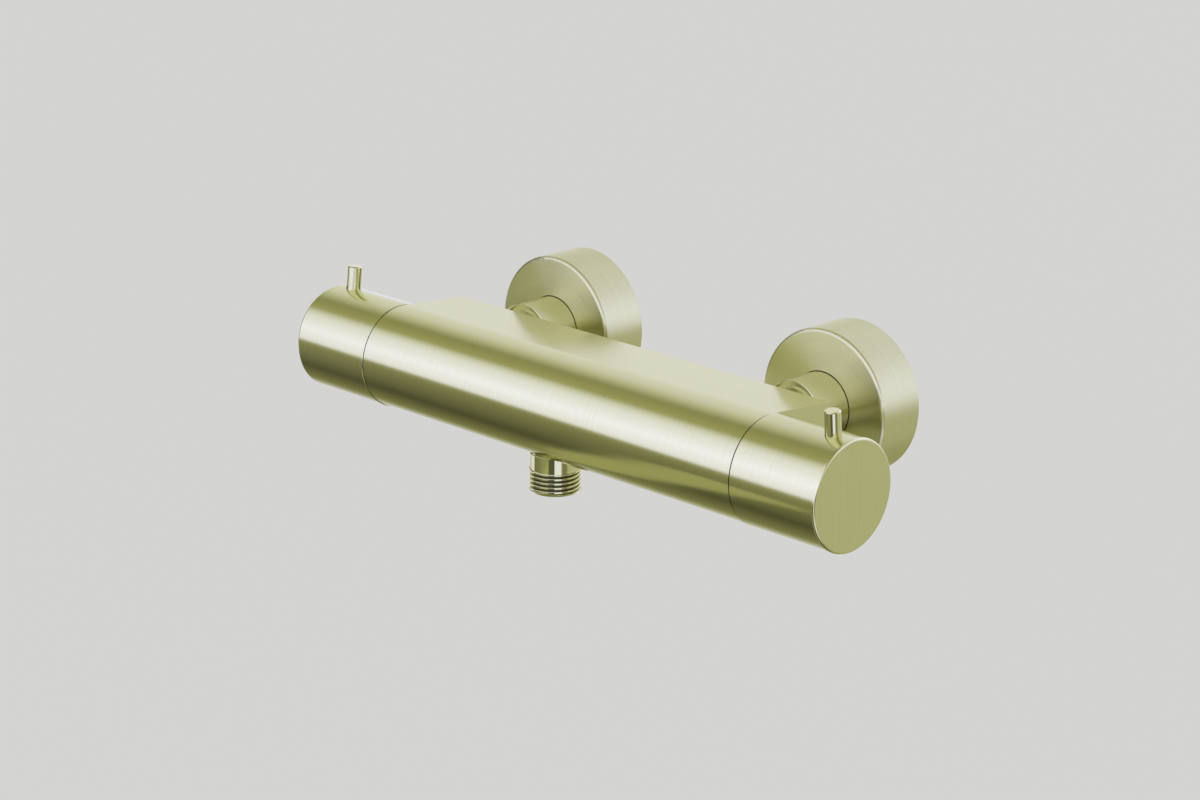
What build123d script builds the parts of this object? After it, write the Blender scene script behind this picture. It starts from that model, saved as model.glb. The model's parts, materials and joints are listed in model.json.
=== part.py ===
from build123d import *

import os
from math import acos, atan2, cos, degrees, hypot, radians, sin

os.makedirs("parts", exist_ok=True)

# Wall-mounted bar mixer. All sizes are in millimetres. The wall is the plane Y = 0, the bar stands in
# front of it at negative Y, +X points to the temperature handle and +Z points up. The origin lies on
# the wall, midway between the axes of the two wall stubs.

# Places of the main axes
inlet_spacing = 150.0
projection = 84.2
inlet_rise = 5.3
union_offset = 8.0

# Clearances
running_clearance = 0.05
seat_clearance = 0.05
thread_clearance = 0.04
face_gap = 0.02

# Flats that stand for the round section of each seal ring and of each spring's wire
cord_flat_count = 8
wire_flat_count = 6

# Body: a round bar with a wing that runs back towards the wall, longer than the inlets' spacing by
# an overhang at each end that has to hold the outer half of a cartridge
body_overhang = 26.9
body_radius = 21.7
wing_reach = 35.7
wing_height = 27.0
wing_edge_radius = 0.5

# Waterways in the body
channel_radius = 7.0
gallery_radius = 4.5
gallery_reach = 22.2
outlet_gallery_drop = 14.2
inlet_way_radius = 6.2

# Handles: turned cups
handle_radius = 22.0
handle_length = 41.4
handle_wall = 2.0
handle_end_wall = 2.5
handle_edge_radius = 1.0
handle_mouth_chamfer = 0.3
seam_gap = 0.4

# Handle pins
pin_radius = 3.16
pin_reach = 31.8
pin_inset = 8.7
pin_chamfer = 0.4
pin_shank_radius = 2.0
pin_shank_length = 3.4
flow_pin_lean = 5.8
temperature_pin_lean = 5.5

# Rosettes
rosette_radius = 31.1
rosette_depth = 21.9
rosette_wall = 1.2
rosette_edge_radius = 1.5
rosette_clearance = 0.3
rosette_lip_length = 4.6
rosette_lip_wall = 2.1
rosette_cord = 0.65

# Union nuts
nut_radius = 13.95
nut_length = 25.0
nut_face = 39.4
nut_lip = 4.8
nut_chamfer = 0.6
nut_recess_inner_radius = 11.0
nut_recess_outer_radius = 13.2
nut_recess_depth = 1.2

# Eccentric unions
wall_thread_radius = 10.4775
wall_thread_length = 14.0
union_thread_radius = 12.0
union_plate_start = 4.0
union_plate_thickness = 5.0
union_plate_margin = 1.0
union_bore_radius = 5.8
union_wall_bore_radius = 7.5
union_hex_across = 12.0
union_hex_depth = 10.0
thread_chamfer = 0.8

# Filter washers
washer_thickness = 2.0
washer_bore_radius = 6.0
mesh_thickness = 0.6

# Inlet tails
tail_flange_thickness = 2.5
tail_flange_radius = 11.0
tail_radius = 9.0
tail_collar_radius = 12.0
tail_collar_length = 2.2
tail_thread_length = 8.5
tail_bore_radius = 7.0
tail_end_bore_radius = 5.5
tail_end_wall = 5.0
tail_cord = 0.8

# Check valves
valve_end_gap = 0.3
valve_seat_length = 4.7
valve_inlet_radius = 4.2
valve_chamber_radius = 5.9
valve_end_thickness = 2.0
poppet_radius = 5.2
poppet_thickness = 2.0
poppet_stem_radius = 1.5
poppet_stem_end = 0.5
poppet_travel = 2.5
valve_window_inner_radius = 2.4
valve_window_outer_radius = 5.4
valve_window_count = 4
valve_window_angle = 60.0
valve_spring_radius = 3.2
valve_spring_wire = 0.2
valve_spring_pitch = 1.7

# Outlet nipple, male thread below, screwed into the body above
outlet_offset = 10.5
outlet_drop = 36.1
outlet_thread_radius = 10.4775
outlet_bore_radius = 7.5
outlet_neck_radius = 10.2
outlet_neck_length = 6.6
outlet_root_radius = 9.9
outlet_seat_drop = 15.0
outlet_way_radius = 8.0
spot_face_radius = 12.6
spot_face_drop = 20.2
outlet_cord = 0.7

# Temperature cartridge
cartridge_radius = 16.0
cartridge_port_spacing = 19.0
cartridge_base_reach = 16.0
cartridge_seat_gap = 2.0
cartridge_port_width = 12.0
cartridge_port_radius = 14.0
cartridge_bore_radius = 11.0
cartridge_window_width = 5.0
cartridge_window_shift = 3.0
cartridge_window_angle = 60.0
cartridge_window_count = 4
cartridge_cord = 0.95
cartridge_groove_margin = 0.3
base_ring_length = 6.0
base_ring_bore_radius = 6.0
cup_chamber_radius = 9.0
cup_chamber_shift = 18.5
shoulder_inset = 0.9
cartridge_hex_across = 32.0
hex_thickness = 5.0
neck_radius = 9.5
neck_length = 6.1
journal_radius = 5.0
journal_cord = 0.75

# Regulating spool and wax element
spool_length = 22.0
spool_bore_radius = 8.5
spool_hub_thickness = 3.0
spool_hub_bore_radius = 4.6
spool_slot_inner_radius = 5.6
spool_slot_outer_radius = 8.3
spool_slot_angle = 60.0
spool_slot_count = 4
spool_cord = 0.7
bulb_radius = 4.2
bulb_clearance = 1.5
element_flange_radius = 6.2
element_flange_thickness = 2.0
element_guide_radius = 4.5
element_guide_length = 7.5
element_rod_radius = 1.6
return_spring_radius = 7.2
return_spring_wire = 0.7
return_spring_pitch = 3.0

# Overload cup on the spindle's thread
cup_length = 15.5
cup_end_gap = 1.0
cup_bore_radius = 7.2
cup_end_wall = 4.5
spindle_thread_radius = 4.0
spindle_thread_reach = 5.0
spindle_collar_radius = 7.5
spindle_collar_thickness = 2.9
button_thickness = 2.0
clip_thickness = 1.0
clip_inner_radius = 5.6
overload_spring_radius = 5.6
overload_spring_wire = 0.8
overload_spring_pitch = 2.5

# Flow cartridge
flow_bore_radius = 12.0
flow_bore_depth = 43.9
flow_window_length = 15.5
flow_window_radius = 10.8
flow_disc_bore_radius = 10.0
flow_disc_bore_length = 9.0
flow_window_start = 3.5
flow_window_width = 5.0
flow_window_angle = 80.0
flow_hex_across = 24.0
flow_stem_radius = 8.0
flow_shoulder_inset = 3.7
flow_cord = 0.75
flow_groove_inset = 21.5
stem_groove_inset = 17.5
seat_seal_inner_radius = 7.2
seat_seal_outer_radius = 9.6
seat_seal_thickness = 2.8
seat_seal_overlap = 0.3
disc_thickness = 3.0
disc_port_inner_radius = 2.5
disc_port_outer_radius = 7.4
disc_port_angle = 84.0
fork_thickness = 2.3
fork_width = 6.0
moving_disc_clearance = 0.3
lug_width = 3.0
lug_length = 4.0
lug_depth = 1.2
lug_reach = 7.4
lug_clearance = 0.1

# Spindle splines
spline_length = 10.5
spline_root_radius = 4.1
spline_tip_radius = 4.6
spline_count = 20
spline_root_width = 0.8
spline_tip_width = 0.45
spindle_end_gap = 0.5

# Handle inserts, their screws and the stop rings
insert_gap = 0.6
insert_hub_radius = 9.0
insert_rim_radius = 16.0
insert_rim_length = 12.0
insert_web_thickness = 3.0
insert_end_gap = 0.2
insert_clearance = 0.1
insert_wall = 2.5
screw_radius = 2.0
screw_grip = 8.0
screw_head_radius = 3.5
screw_head_height = 2.4
screw_socket_across = 2.5
screw_socket_depth = 1.5
stop_ring_radius = 13.0
stop_ring_thickness = 3.1
stop_tab_height = 6.1
stop_outer_radius = 16.0
stop_inner_radius = 13.3
stop_tab_overlap = 2.6
stop_margin = 1.5
insert_tab_angle = 30.0
screw_hole_clearance = 0.1
screw_recess_clearance = 0.4
temperature_range = 270.0
temperature_hot_range = 50.0
flow_range = 90.0

# Places worked out from the sizes above
inlet_x = inlet_spacing / 2
inlet_z = union_offset
bar_y = -projection
bar_z = inlet_z - inlet_rise
end = inlet_x + body_overhang
handle_mouth = end + seam_gap
handle_end = handle_mouth + handle_length
wing_back = projection - wing_reach
nut_back = nut_face - nut_length
nut_seat = nut_face - nut_lip
tail_flange_end = nut_seat - face_gap
tail_start = tail_flange_end - tail_flange_thickness
washer_start = tail_start - washer_thickness
tail_end = wing_back + tail_thread_length
valve_start = tail_start + valve_end_gap
valve_end = tail_end - tail_end_wall
valve_seat = valve_start + valve_seat_length
valve_guide = valve_end - valve_end_thickness
hot_port = inlet_x - cartridge_port_spacing
cold_port = inlet_x
cartridge_middle = (hot_port + cold_port) / 2
cartridge_inner_end = hot_port - cartridge_base_reach
base_ring_end = cartridge_inner_end + base_ring_length
cup_chamber_start = cartridge_middle + cup_chamber_shift
shoulder = end - shoulder_inset
hex_end = end + hex_thickness
neck_end = hex_end + neck_length
spool_start = cartridge_middle - spool_length / 2
spool_end = cartridge_middle + spool_length / 2
hub_start = cartridge_middle - spool_hub_thickness
cup_end = shoulder - spindle_collar_thickness - cup_end_gap - running_clearance
cup_start = cup_end - cup_length
button_start = cup_start + clip_thickness
button_end = button_start + button_thickness
cup_floor = cup_end - cup_end_wall
flow_bottom = end - flow_bore_depth
seal_end = flow_bottom + seat_seal_thickness
flow_housing_start = seal_end - seat_seal_overlap
fixed_disc_end = seal_end + disc_thickness
moving_disc_start = fixed_disc_end + face_gap
moving_disc_end = moving_disc_start + disc_thickness
fork_end = moving_disc_end + fork_thickness
disc_bore_end = flow_housing_start + flow_disc_bore_length
flow_shoulder = end - flow_shoulder_inset
spline_start = neck_end + spindle_end_gap
spindle_end = spline_start + spline_length
insert_start = neck_end + insert_gap
insert_wall_start = spindle_end + spindle_end_gap
insert_wall_end = insert_wall_start + insert_wall
insert_end = handle_end - handle_end_wall - insert_end_gap
rim_start = insert_end - insert_rim_length
web_end = rim_start + insert_web_thickness
pin_place = handle_end - pin_inset
handle_bore_radius = handle_radius - handle_wall
rim_outer_radius = handle_bore_radius - insert_clearance
stop_tab_end = hex_end + stop_tab_height
insert_tab_start = stop_tab_end - stop_tab_overlap


def along_bar(side):
    """Plane whose x runs outwards along the bar from its middle and whose y points up."""
    return Plane(origin=(0, bar_y, bar_z), x_dir=(side, 0, 0), z_dir=(0, -side, 0))


def across_bar(side, place):
    """Plane square to the bar, at a distance from its middle, that faces outwards with y up."""
    return Plane(origin=(side * place, bar_y, bar_z), x_dir=(0, side, 0), z_dir=(side, 0, 0))


def along_inlet(side, height=inlet_z):
    """Plane whose x runs away from the wall along an inlet and whose y points up."""
    return Plane(origin=(side * inlet_x, 0, height), x_dir=(0, -1, 0), z_dir=(-1, 0, 0))


def across_inlet(side, place, height=inlet_z):
    """Plane parallel to the wall, at a distance from it, that faces away from it with y up."""
    return Plane(origin=(side * inlet_x, -place, height), x_dir=(1, 0, 0), z_dir=(0, -1, 0))


def bar_axis(side):
    return Axis((0, bar_y, bar_z), (side, 0, 0))


def inlet_axis(side, height=inlet_z):
    return Axis((side * inlet_x, 0, height), (0, -1, 0))


def sector(inner_radius, outer_radius, middle, width):
    """Ring sector about the sketch's origin, from its radii, middle angle and width in degrees."""
    with BuildSketch(Plane.XY) as shape:
        with BuildLine():
            outer = CenterArc((0, 0), outer_radius, middle - width / 2, width)
            inner = CenterArc((0, 0), inner_radius, middle - width / 2, width)
            Line(outer @ 0, inner @ 0)
            Line(outer @ 1, inner @ 1)
        make_face()
    return shape.sketch


def spline_section(growth):
    """Round core with trapezoid teeth, grown all round by a clearance for the mating bore."""
    root = spline_root_radius + growth
    tip = spline_tip_radius + growth
    root_half = spline_root_width / 2 + growth
    tip_half = spline_tip_width / 2 + growth
    inside = root - spline_root_width
    with BuildSketch(Plane.XY) as shape:
        Circle(root)
        with PolarLocations(0, spline_count):
            Polygon(
                (inside, -root_half),
                (root, -root_half),
                (tip, -tip_half),
                (tip, tip_half),
                (root, root_half),
                (inside, root_half),
                align=None,
            )
    return shape.sketch


# Mixer body: the section is the bar's circle with two tangent flanks that run to the wing's back face
wing_top = inlet_rise + wing_height / 2
wing_bottom = inlet_rise - wing_height / 2
top_tangent = degrees(atan2(wing_top, wing_reach) + acos(body_radius / hypot(wing_reach, wing_top)))
bottom_tangent = degrees(atan2(wing_bottom, wing_reach) - acos(body_radius / hypot(wing_reach, wing_bottom)))
outlet_plane = Plane(origin=(-outlet_offset, bar_y, bar_z), x_dir=(1, 0, 0), z_dir=(0, 1, 0))
outlet_axis = Axis((-outlet_offset, bar_y, bar_z), (0, 0, 1))

with BuildPart() as mixer_body:
    with BuildSketch(Plane.YZ.offset(-end)):
        with BuildLine():
            bar = CenterArc((bar_y, bar_z), body_radius, top_tangent, 360 + bottom_tangent - top_tangent)
            Polyline(
                bar @ 1,
                (bar_y + wing_reach, bar_z + wing_bottom),
                (bar_y + wing_reach, bar_z + wing_top),
                bar @ 0,
            )
        make_face()
    extrude(amount=2 * end)
    fillet(mixer_body.faces().sort_by(Axis.Y)[-1].edges(), wing_edge_radius)

    # Bores for both cartridges and the channel between them
    with BuildSketch(along_bar(1)):
        with BuildLine():
            Polyline(
                (-end, 0),
                (-end, flow_bore_radius),
                (-flow_bottom, flow_bore_radius),
                (-flow_bottom, channel_radius),
                (cartridge_inner_end - cartridge_seat_gap, channel_radius),
                (cartridge_inner_end - cartridge_seat_gap, cartridge_radius),
                (end, cartridge_radius),
                (end, 0),
                close=True,
            )
        make_face()
    revolve(axis=bar_axis(1), mode=Mode.SUBTRACT)

    # Hot water gallery in the wing, from the left inlet to the temperature cartridge
    with BuildSketch(Plane.YZ.offset(-inlet_x)):
        with Locations((bar_y + gallery_reach, inlet_z)):
            Circle(gallery_radius)
    extrude(amount=inlet_x + hot_port + gallery_radius, mode=Mode.SUBTRACT)
    with BuildSketch(Plane(origin=(hot_port, bar_y + gallery_reach, inlet_z), x_dir=(1, 0, 0), z_dir=(0, -1, 0))):
        Circle(gallery_radius)
    extrude(amount=gallery_reach - cartridge_radius / 2, mode=Mode.SUBTRACT)

    # Inlets: a threaded bore for the tail, a ring seat for its seal and the way in
    for side, way_end in ((-1, projection - gallery_reach), (1, projection - cartridge_radius / 2)):
        with BuildSketch(along_inlet(side)):
            with BuildLine():
                Polyline(
                    (wing_back, 0),
                    (wing_back, tail_radius + 2 * tail_cord + seat_clearance),
                    (wing_back + 2 * tail_cord, tail_radius + 2 * tail_cord + seat_clearance),
                    (wing_back + 2 * tail_cord, tail_radius + thread_clearance),
                    (tail_end + seat_clearance, tail_radius + thread_clearance),
                    (tail_end + seat_clearance, inlet_way_radius),
                    (way_end, inlet_way_radius),
                    (way_end, 0),
                    close=True,
                )
            make_face()
        revolve(axis=inlet_axis(side), mode=Mode.SUBTRACT)

    # Gallery from the flow cartridge to the outlet
    with BuildSketch(Plane.YZ.offset(-flow_bottom - flow_window_length)):
        with Locations((bar_y, bar_z - outlet_gallery_drop)):
            Circle(gallery_radius)
    extrude(amount=flow_bottom + flow_window_length - outlet_offset, mode=Mode.SUBTRACT)

    # Outlet: a spot face for the hose nut, the nipple's bore and the way down to it
    with BuildSketch(outlet_plane):
        with BuildLine():
            Polyline(
                (0, outlet_gallery_drop),
                (outlet_way_radius, outlet_gallery_drop),
                (outlet_way_radius, outlet_seat_drop),
                (outlet_root_radius + thread_clearance, outlet_seat_drop),
                (outlet_root_radius + thread_clearance, spot_face_drop),
                (spot_face_radius, spot_face_drop),
                (spot_face_radius, body_radius + seam_gap),
                (0, body_radius + seam_gap),
                close=True,
            )
        make_face()
    revolve(axis=outlet_axis, mode=Mode.SUBTRACT)

mixer_body.part.label = "mixer_body"
export_step(mixer_body.part, "parts/mixer_body.step")

# Outlet nipple: one turned piece, its upper end in the body and its lower end threaded for the hose
nipple_top = outlet_seat_drop + seat_clearance
nipple_groove = nipple_top + 2 * outlet_cord

with BuildPart() as outlet_nipple:
    with BuildSketch(outlet_plane):
        with BuildLine():
            Polyline(
                (outlet_bore_radius, nipple_top),
                (outlet_root_radius, nipple_top),
                (outlet_root_radius, nipple_top + outlet_cord / 2),
                (outlet_root_radius - 2 * outlet_cord, nipple_top + outlet_cord / 2),
                (outlet_root_radius - 2 * outlet_cord, nipple_groove + outlet_cord),
                (outlet_root_radius, nipple_groove + outlet_cord),
                (outlet_root_radius, spot_face_drop + face_gap),
                (outlet_neck_radius, spot_face_drop + face_gap),
                (outlet_neck_radius, spot_face_drop + outlet_neck_length),
                (outlet_thread_radius, spot_face_drop + outlet_neck_length),
                (outlet_thread_radius, outlet_drop - thread_chamfer),
                (outlet_thread_radius - thread_chamfer, outlet_drop),
                (outlet_bore_radius, outlet_drop),
                close=True,
            )
        make_face()
    revolve(axis=outlet_axis)
outlet_nipple.part.label = "outlet_nipple"
export_step(outlet_nipple.part, "parts/outlet_nipple.step")

with BuildPart() as outlet_o_ring:
    with BuildSketch(outlet_plane):
        with Locations((outlet_root_radius - outlet_cord, nipple_groove - outlet_cord / 4)):
            RegularPolygon(outlet_cord, cord_flat_count)
    revolve(axis=outlet_axis)
outlet_o_ring.part.label = "outlet_o_ring"
export_step(outlet_o_ring.part, "parts/outlet_o_ring.step")

# Inlet side: the same pieces on the left and on the right
for side, hand in ((-1, "left"), (1, "right")):
    # Rosette: a deep cup with its mouth on the wall and an inner lip that holds the ring on the nut
    lip_bore_radius = nut_radius + rosette_clearance
    lip_radius = lip_bore_radius + rosette_lip_wall
    lip_start = rosette_depth - rosette_lip_length
    groove_middle = lip_start + rosette_lip_length / 2
    groove_radius = nut_radius + 2 * rosette_cord + seat_clearance
    with BuildPart() as rosette:
        with BuildSketch(along_inlet(side)):
            with BuildLine():
                Polyline(
                    (0, rosette_radius),
                    (rosette_depth, rosette_radius),
                    (rosette_depth, lip_bore_radius),
                    (groove_middle + rosette_cord, lip_bore_radius),
                    (groove_middle + rosette_cord, groove_radius),
                    (groove_middle - rosette_cord, groove_radius),
                    (groove_middle - rosette_cord, lip_bore_radius),
                    (lip_start, lip_bore_radius),
                    (lip_start, lip_radius),
                    (rosette_depth - rosette_wall, lip_radius),
                    (rosette_depth - rosette_wall, rosette_radius - rosette_wall),
                    (0, rosette_radius - rosette_wall),
                    close=True,
                )
            make_face()
        revolve(axis=inlet_axis(side))
        rim = rosette.edges().filter_by(GeomType.CIRCLE).group_by(SortBy.RADIUS)[-1].sort_by(Axis.Y)[0]
        fillet(rim, rosette_edge_radius)
    rosette.part.label = f"rosette_{hand}"
    export_step(rosette.part, f"parts/rosette_{hand}.step")

    with BuildPart() as rosette_o_ring:
        with BuildSketch(along_inlet(side)):
            with Locations((groove_middle, nut_radius + rosette_cord)):
                RegularPolygon(rosette_cord, cord_flat_count)
        revolve(axis=inlet_axis(side))
    rosette_o_ring.part.label = f"rosette_o_ring_{hand}"
    export_step(rosette_o_ring.part, f"parts/rosette_o_ring_{hand}.step")

    # Union nut: round, with a ring groove in its front face
    with BuildPart() as union_nut:
        with BuildSketch(along_inlet(side)):
            with BuildLine():
                Polyline(
                    (nut_back, union_thread_radius),
                    (nut_back, nut_radius - nut_chamfer),
                    (nut_back + nut_chamfer, nut_radius),
                    (nut_face - nut_chamfer / 2, nut_radius),
                    (nut_face, nut_radius - nut_chamfer / 2),
                    (nut_face, nut_recess_outer_radius),
                    (nut_face - nut_recess_depth, nut_recess_outer_radius),
                    (nut_face - nut_recess_depth, nut_recess_inner_radius),
                    (nut_face, nut_recess_inner_radius),
                    (nut_face, tail_radius + rosette_clearance),
                    (nut_seat, tail_radius + rosette_clearance),
                    (nut_seat, union_thread_radius),
                    close=True,
                )
            make_face()
        revolve(axis=inlet_axis(side))
    union_nut.part.label = f"union_nut_{hand}"
    export_step(union_nut.part, f"parts/union_nut_{hand}.step")

    # Eccentric union: wall thread low, plate between, union thread high, with a key hexagon inside
    union_outer_radius = union_thread_radius - thread_clearance
    union_plate_end = union_plate_start + union_plate_thickness
    with BuildPart() as eccentric_union:
        with BuildSketch(across_inlet(side, union_plate_start, union_offset / 2)):
            SlotCenterToCenter(union_offset, 2 * (union_thread_radius + union_plate_margin), rotation=90)
        extrude(amount=union_plate_thickness)
        with BuildSketch(across_inlet(side, -wall_thread_length, 0)):
            Circle(wall_thread_radius)
        extrude(amount=wall_thread_length + union_plate_start)
        chamfer(eccentric_union.faces().sort_by(Axis.Y)[-1].edges(), thread_chamfer)
        with BuildSketch(across_inlet(side, union_plate_end)):
            Circle(union_outer_radius)
        extrude(amount=washer_start - union_plate_end)
        chamfer(eccentric_union.faces().sort_by(Axis.Y)[0].edges(), thread_chamfer)
        with BuildSketch(across_inlet(side, -wall_thread_length, 0)):
            Circle(union_wall_bore_radius)
        extrude(amount=wall_thread_length + union_plate_start + union_plate_thickness / 2, mode=Mode.SUBTRACT)
        with BuildSketch(across_inlet(side, union_plate_start + union_plate_thickness / 2)):
            Circle(union_bore_radius)
        extrude(amount=washer_start, mode=Mode.SUBTRACT)
        with BuildSketch(across_inlet(side, washer_start - union_hex_depth)):
            RegularPolygon(union_hex_across / 2, 6, major_radius=False)
        extrude(amount=washer_start, mode=Mode.SUBTRACT)
    eccentric_union.part.label = f"eccentric_union_{hand}"
    export_step(eccentric_union.part, f"parts/eccentric_union_{hand}.step")

    # Filter washer: rubber ring with a disc of mesh across its hole
    mesh_middle = (washer_start + tail_start) / 2
    with BuildPart() as filter_washer:
        with BuildSketch(along_inlet(side)):
            with BuildLine():
                Polyline(
                    (washer_start, washer_bore_radius),
                    (washer_start, tail_flange_radius),
                    (tail_start, tail_flange_radius),
                    (tail_start, washer_bore_radius),
                    (mesh_middle + mesh_thickness / 2, washer_bore_radius),
                    (mesh_middle + mesh_thickness / 2, 0),
                    (mesh_middle - mesh_thickness / 2, 0),
                    (mesh_middle - mesh_thickness / 2, washer_bore_radius),
                    close=True,
                )
            make_face()
        revolve(axis=inlet_axis(side))
    filter_washer.part.label = f"filter_washer_{hand}"
    export_step(filter_washer.part, f"parts/filter_washer_{hand}.step")

    # Inlet tail: its flange is pulled back by the nut and its thread sits in the body
    with BuildPart() as inlet_tail:
        with BuildSketch(along_inlet(side)):
            with BuildLine():
                Polyline(
                    (tail_start, tail_bore_radius),
                    (tail_start, tail_flange_radius),
                    (tail_flange_end, tail_flange_radius),
                    (tail_flange_end, tail_radius),
                    (wing_back - tail_collar_length, tail_radius),
                    (wing_back - tail_collar_length, tail_collar_radius),
                    (wing_back, tail_collar_radius),
                    (wing_back, tail_radius),
                    (tail_end, tail_radius),
                    (tail_end, tail_end_bore_radius),
                    (valve_end, tail_end_bore_radius),
                    (valve_end, tail_bore_radius),
                    close=True,
                )
            make_face()
        revolve(axis=inlet_axis(side))
    inlet_tail.part.label = f"inlet_tail_{hand}"
    export_step(inlet_tail.part, f"parts/inlet_tail_{hand}.step")

    with BuildPart() as inlet_tail_o_ring:
        with BuildSketch(along_inlet(side)):
            with Locations((wing_back + tail_cord, tail_radius + tail_cord + seat_clearance / 2)):
                RegularPolygon(tail_cord, cord_flat_count)
        revolve(axis=inlet_axis(side))
    inlet_tail_o_ring.part.label = f"inlet_tail_o_ring_{hand}"
    export_step(inlet_tail_o_ring.part, f"parts/inlet_tail_o_ring_{hand}.step")

    # Check valve: a housing with a seat at the wall side and a windowed guide at the body side
    with BuildPart() as check_valve_housing:
        with BuildSketch(along_inlet(side)):
            with BuildLine():
                Polyline(
                    (valve_start, valve_inlet_radius),
                    (valve_start, tail_bore_radius - seat_clearance),
                    (valve_end, tail_bore_radius - seat_clearance),
                    (valve_end, poppet_stem_radius + running_clearance),
                    (valve_guide, poppet_stem_radius + running_clearance),
                    (valve_guide, valve_chamber_radius),
                    (valve_seat, valve_chamber_radius),
                    (valve_seat, valve_inlet_radius),
                    close=True,
                )
            make_face()
        revolve(axis=inlet_axis(side))
        with BuildSketch(across_inlet(side, valve_guide)):
            with PolarLocations(0, valve_window_count):
                add(sector(valve_window_inner_radius, valve_window_outer_radius, 0, valve_window_angle))
        extrude(amount=valve_end_thickness, mode=Mode.SUBTRACT)
    check_valve_housing.part.label = f"check_valve_housing_{hand}"
    export_step(check_valve_housing.part, f"parts/check_valve_housing_{hand}.step")

    poppet_start = valve_seat + face_gap
    poppet_back = poppet_start + poppet_thickness
    with BuildPart() as check_valve_poppet:
        with BuildSketch(along_inlet(side)):
            with BuildLine():
                Polyline(
                    (poppet_start, 0),
                    (poppet_start, poppet_radius),
                    (poppet_back, poppet_radius),
                    (poppet_back, poppet_stem_radius),
                    (valve_end + poppet_stem_end, poppet_stem_radius),
                    (valve_end + poppet_stem_end, 0),
                    close=True,
                )
            make_face()
        revolve(axis=inlet_axis(side))
    check_valve_poppet.part.label = f"check_valve_poppet_{hand}"
    export_step(check_valve_poppet.part, f"parts/check_valve_poppet_{hand}.step")

    with BuildPart() as check_valve_spring:
        with BuildLine() as coil:
            Helix(
                valve_spring_pitch,
                valve_guide - poppet_back - 2 * valve_spring_wire,
                valve_spring_radius,
                center=(side * inlet_x, -poppet_back - valve_spring_wire, inlet_z),
                direction=(0, -1, 0),
            )
        with BuildSketch(Plane(origin=coil.line @ 0, z_dir=coil.line % 0)):
            RegularPolygon(valve_spring_wire, wire_flat_count)
        sweep(path=coil.line, is_frenet=True)
    check_valve_spring.part.label = f"check_valve_spring_{hand}"
    export_step(check_valve_spring.part, f"parts/check_valve_spring_{hand}.step")


def groove(middle, cord, surface):
    """Outline points of a ring groove in a turned surface, for a ring of the given cord radius."""
    half = cord + cartridge_groove_margin
    floor = surface - 2 * cord
    return [(middle - half, surface), (middle - half, floor), (middle + half, floor), (middle + half, surface)]


# Temperature cartridge housing: rings seal off the hot and the cold belt, each with four windows
cartridge_outer_radius = cartridge_radius - seat_clearance
hot_belt_start = hot_port - cartridge_port_width / 2
hot_belt_end = hot_port + cartridge_port_width / 2
cold_belt_start = cold_port - cartridge_port_width / 2
cold_belt_end = cold_port + cartridge_port_width / 2
cartridge_rings = [
    (cartridge_inner_end + hot_belt_start) / 2,
    cartridge_middle,
    cold_belt_end + base_ring_length,
]
ring_grooves = [groove(middle, cartridge_cord, cartridge_outer_radius) for middle in cartridge_rings]

with BuildPart() as temperature_cartridge_housing:
    with BuildSketch(along_bar(1)):
        with BuildLine():
            Polyline(
                (cartridge_inner_end, cartridge_bore_radius),
                (cartridge_inner_end, cartridge_outer_radius),
                *ring_grooves[0],
                (hot_belt_start, cartridge_outer_radius),
                (hot_belt_start, cartridge_port_radius),
                (hot_belt_end, cartridge_port_radius),
                (hot_belt_end, cartridge_outer_radius),
                *ring_grooves[1],
                (cold_belt_start, cartridge_outer_radius),
                (cold_belt_start, cartridge_port_radius),
                (cold_belt_end, cartridge_port_radius),
                (cold_belt_end, cartridge_outer_radius),
                *ring_grooves[2],
                (end, cartridge_outer_radius),
                (end, neck_radius),
                (neck_end, neck_radius),
                (neck_end, journal_radius + running_clearance),
                (shoulder, journal_radius + running_clearance),
                (shoulder, cup_chamber_radius),
                (cup_chamber_start, cup_chamber_radius),
                (cup_chamber_start, cartridge_bore_radius),
                close=True,
            )
        make_face()
    revolve(axis=bar_axis(1))
    with BuildSketch(across_bar(1, end)):
        RegularPolygon(cartridge_hex_across / 2, 6, major_radius=False)
        Circle(neck_radius, mode=Mode.SUBTRACT)
    extrude(amount=hex_thickness)
    for window_middle in (hot_port - cartridge_window_shift, cold_port + cartridge_window_shift):
        with BuildSketch(across_bar(1, window_middle - cartridge_window_width / 2)):
            with PolarLocations(0, cartridge_window_count):
                add(sector(spool_bore_radius, cartridge_radius, 0, cartridge_window_angle))
        extrude(amount=cartridge_window_width, mode=Mode.SUBTRACT)
temperature_cartridge_housing.part.label = "temperature_cartridge_housing"
export_step(temperature_cartridge_housing.part, "parts/temperature_cartridge_housing.step")

for place, middle in zip(("inner", "middle", "outer"), cartridge_rings):
    with BuildPart() as cartridge_o_ring:
        with BuildSketch(along_bar(1)):
            with Locations((middle, cartridge_outer_radius - cartridge_cord)):
                RegularPolygon(cartridge_cord, cord_flat_count)
        revolve(axis=bar_axis(1))
    cartridge_o_ring.part.label = f"temperature_cartridge_o_ring_{place}"
    export_step(cartridge_o_ring.part, f"parts/temperature_cartridge_o_ring_{place}.step")

with BuildPart() as cartridge_base_ring:
    with BuildSketch(along_bar(1)):
        with BuildLine():
            Polyline(
                (cartridge_inner_end, base_ring_bore_radius),
                (cartridge_inner_end, cartridge_bore_radius - thread_clearance),
                (base_ring_end, cartridge_bore_radius - thread_clearance),
                (base_ring_end, base_ring_bore_radius),
                close=True,
            )
        make_face()
    revolve(axis=bar_axis(1))
cartridge_base_ring.part.label = "cartridge_base_ring"
export_step(cartridge_base_ring.part, "parts/cartridge_base_ring.step")

# Regulating spool: a sleeve whose two end faces meter hot and cold, with a slotted hub in the middle
spool_radius = cartridge_bore_radius - running_clearance
spool_ring_middle = cartridge_middle + spool_hub_thickness

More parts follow.
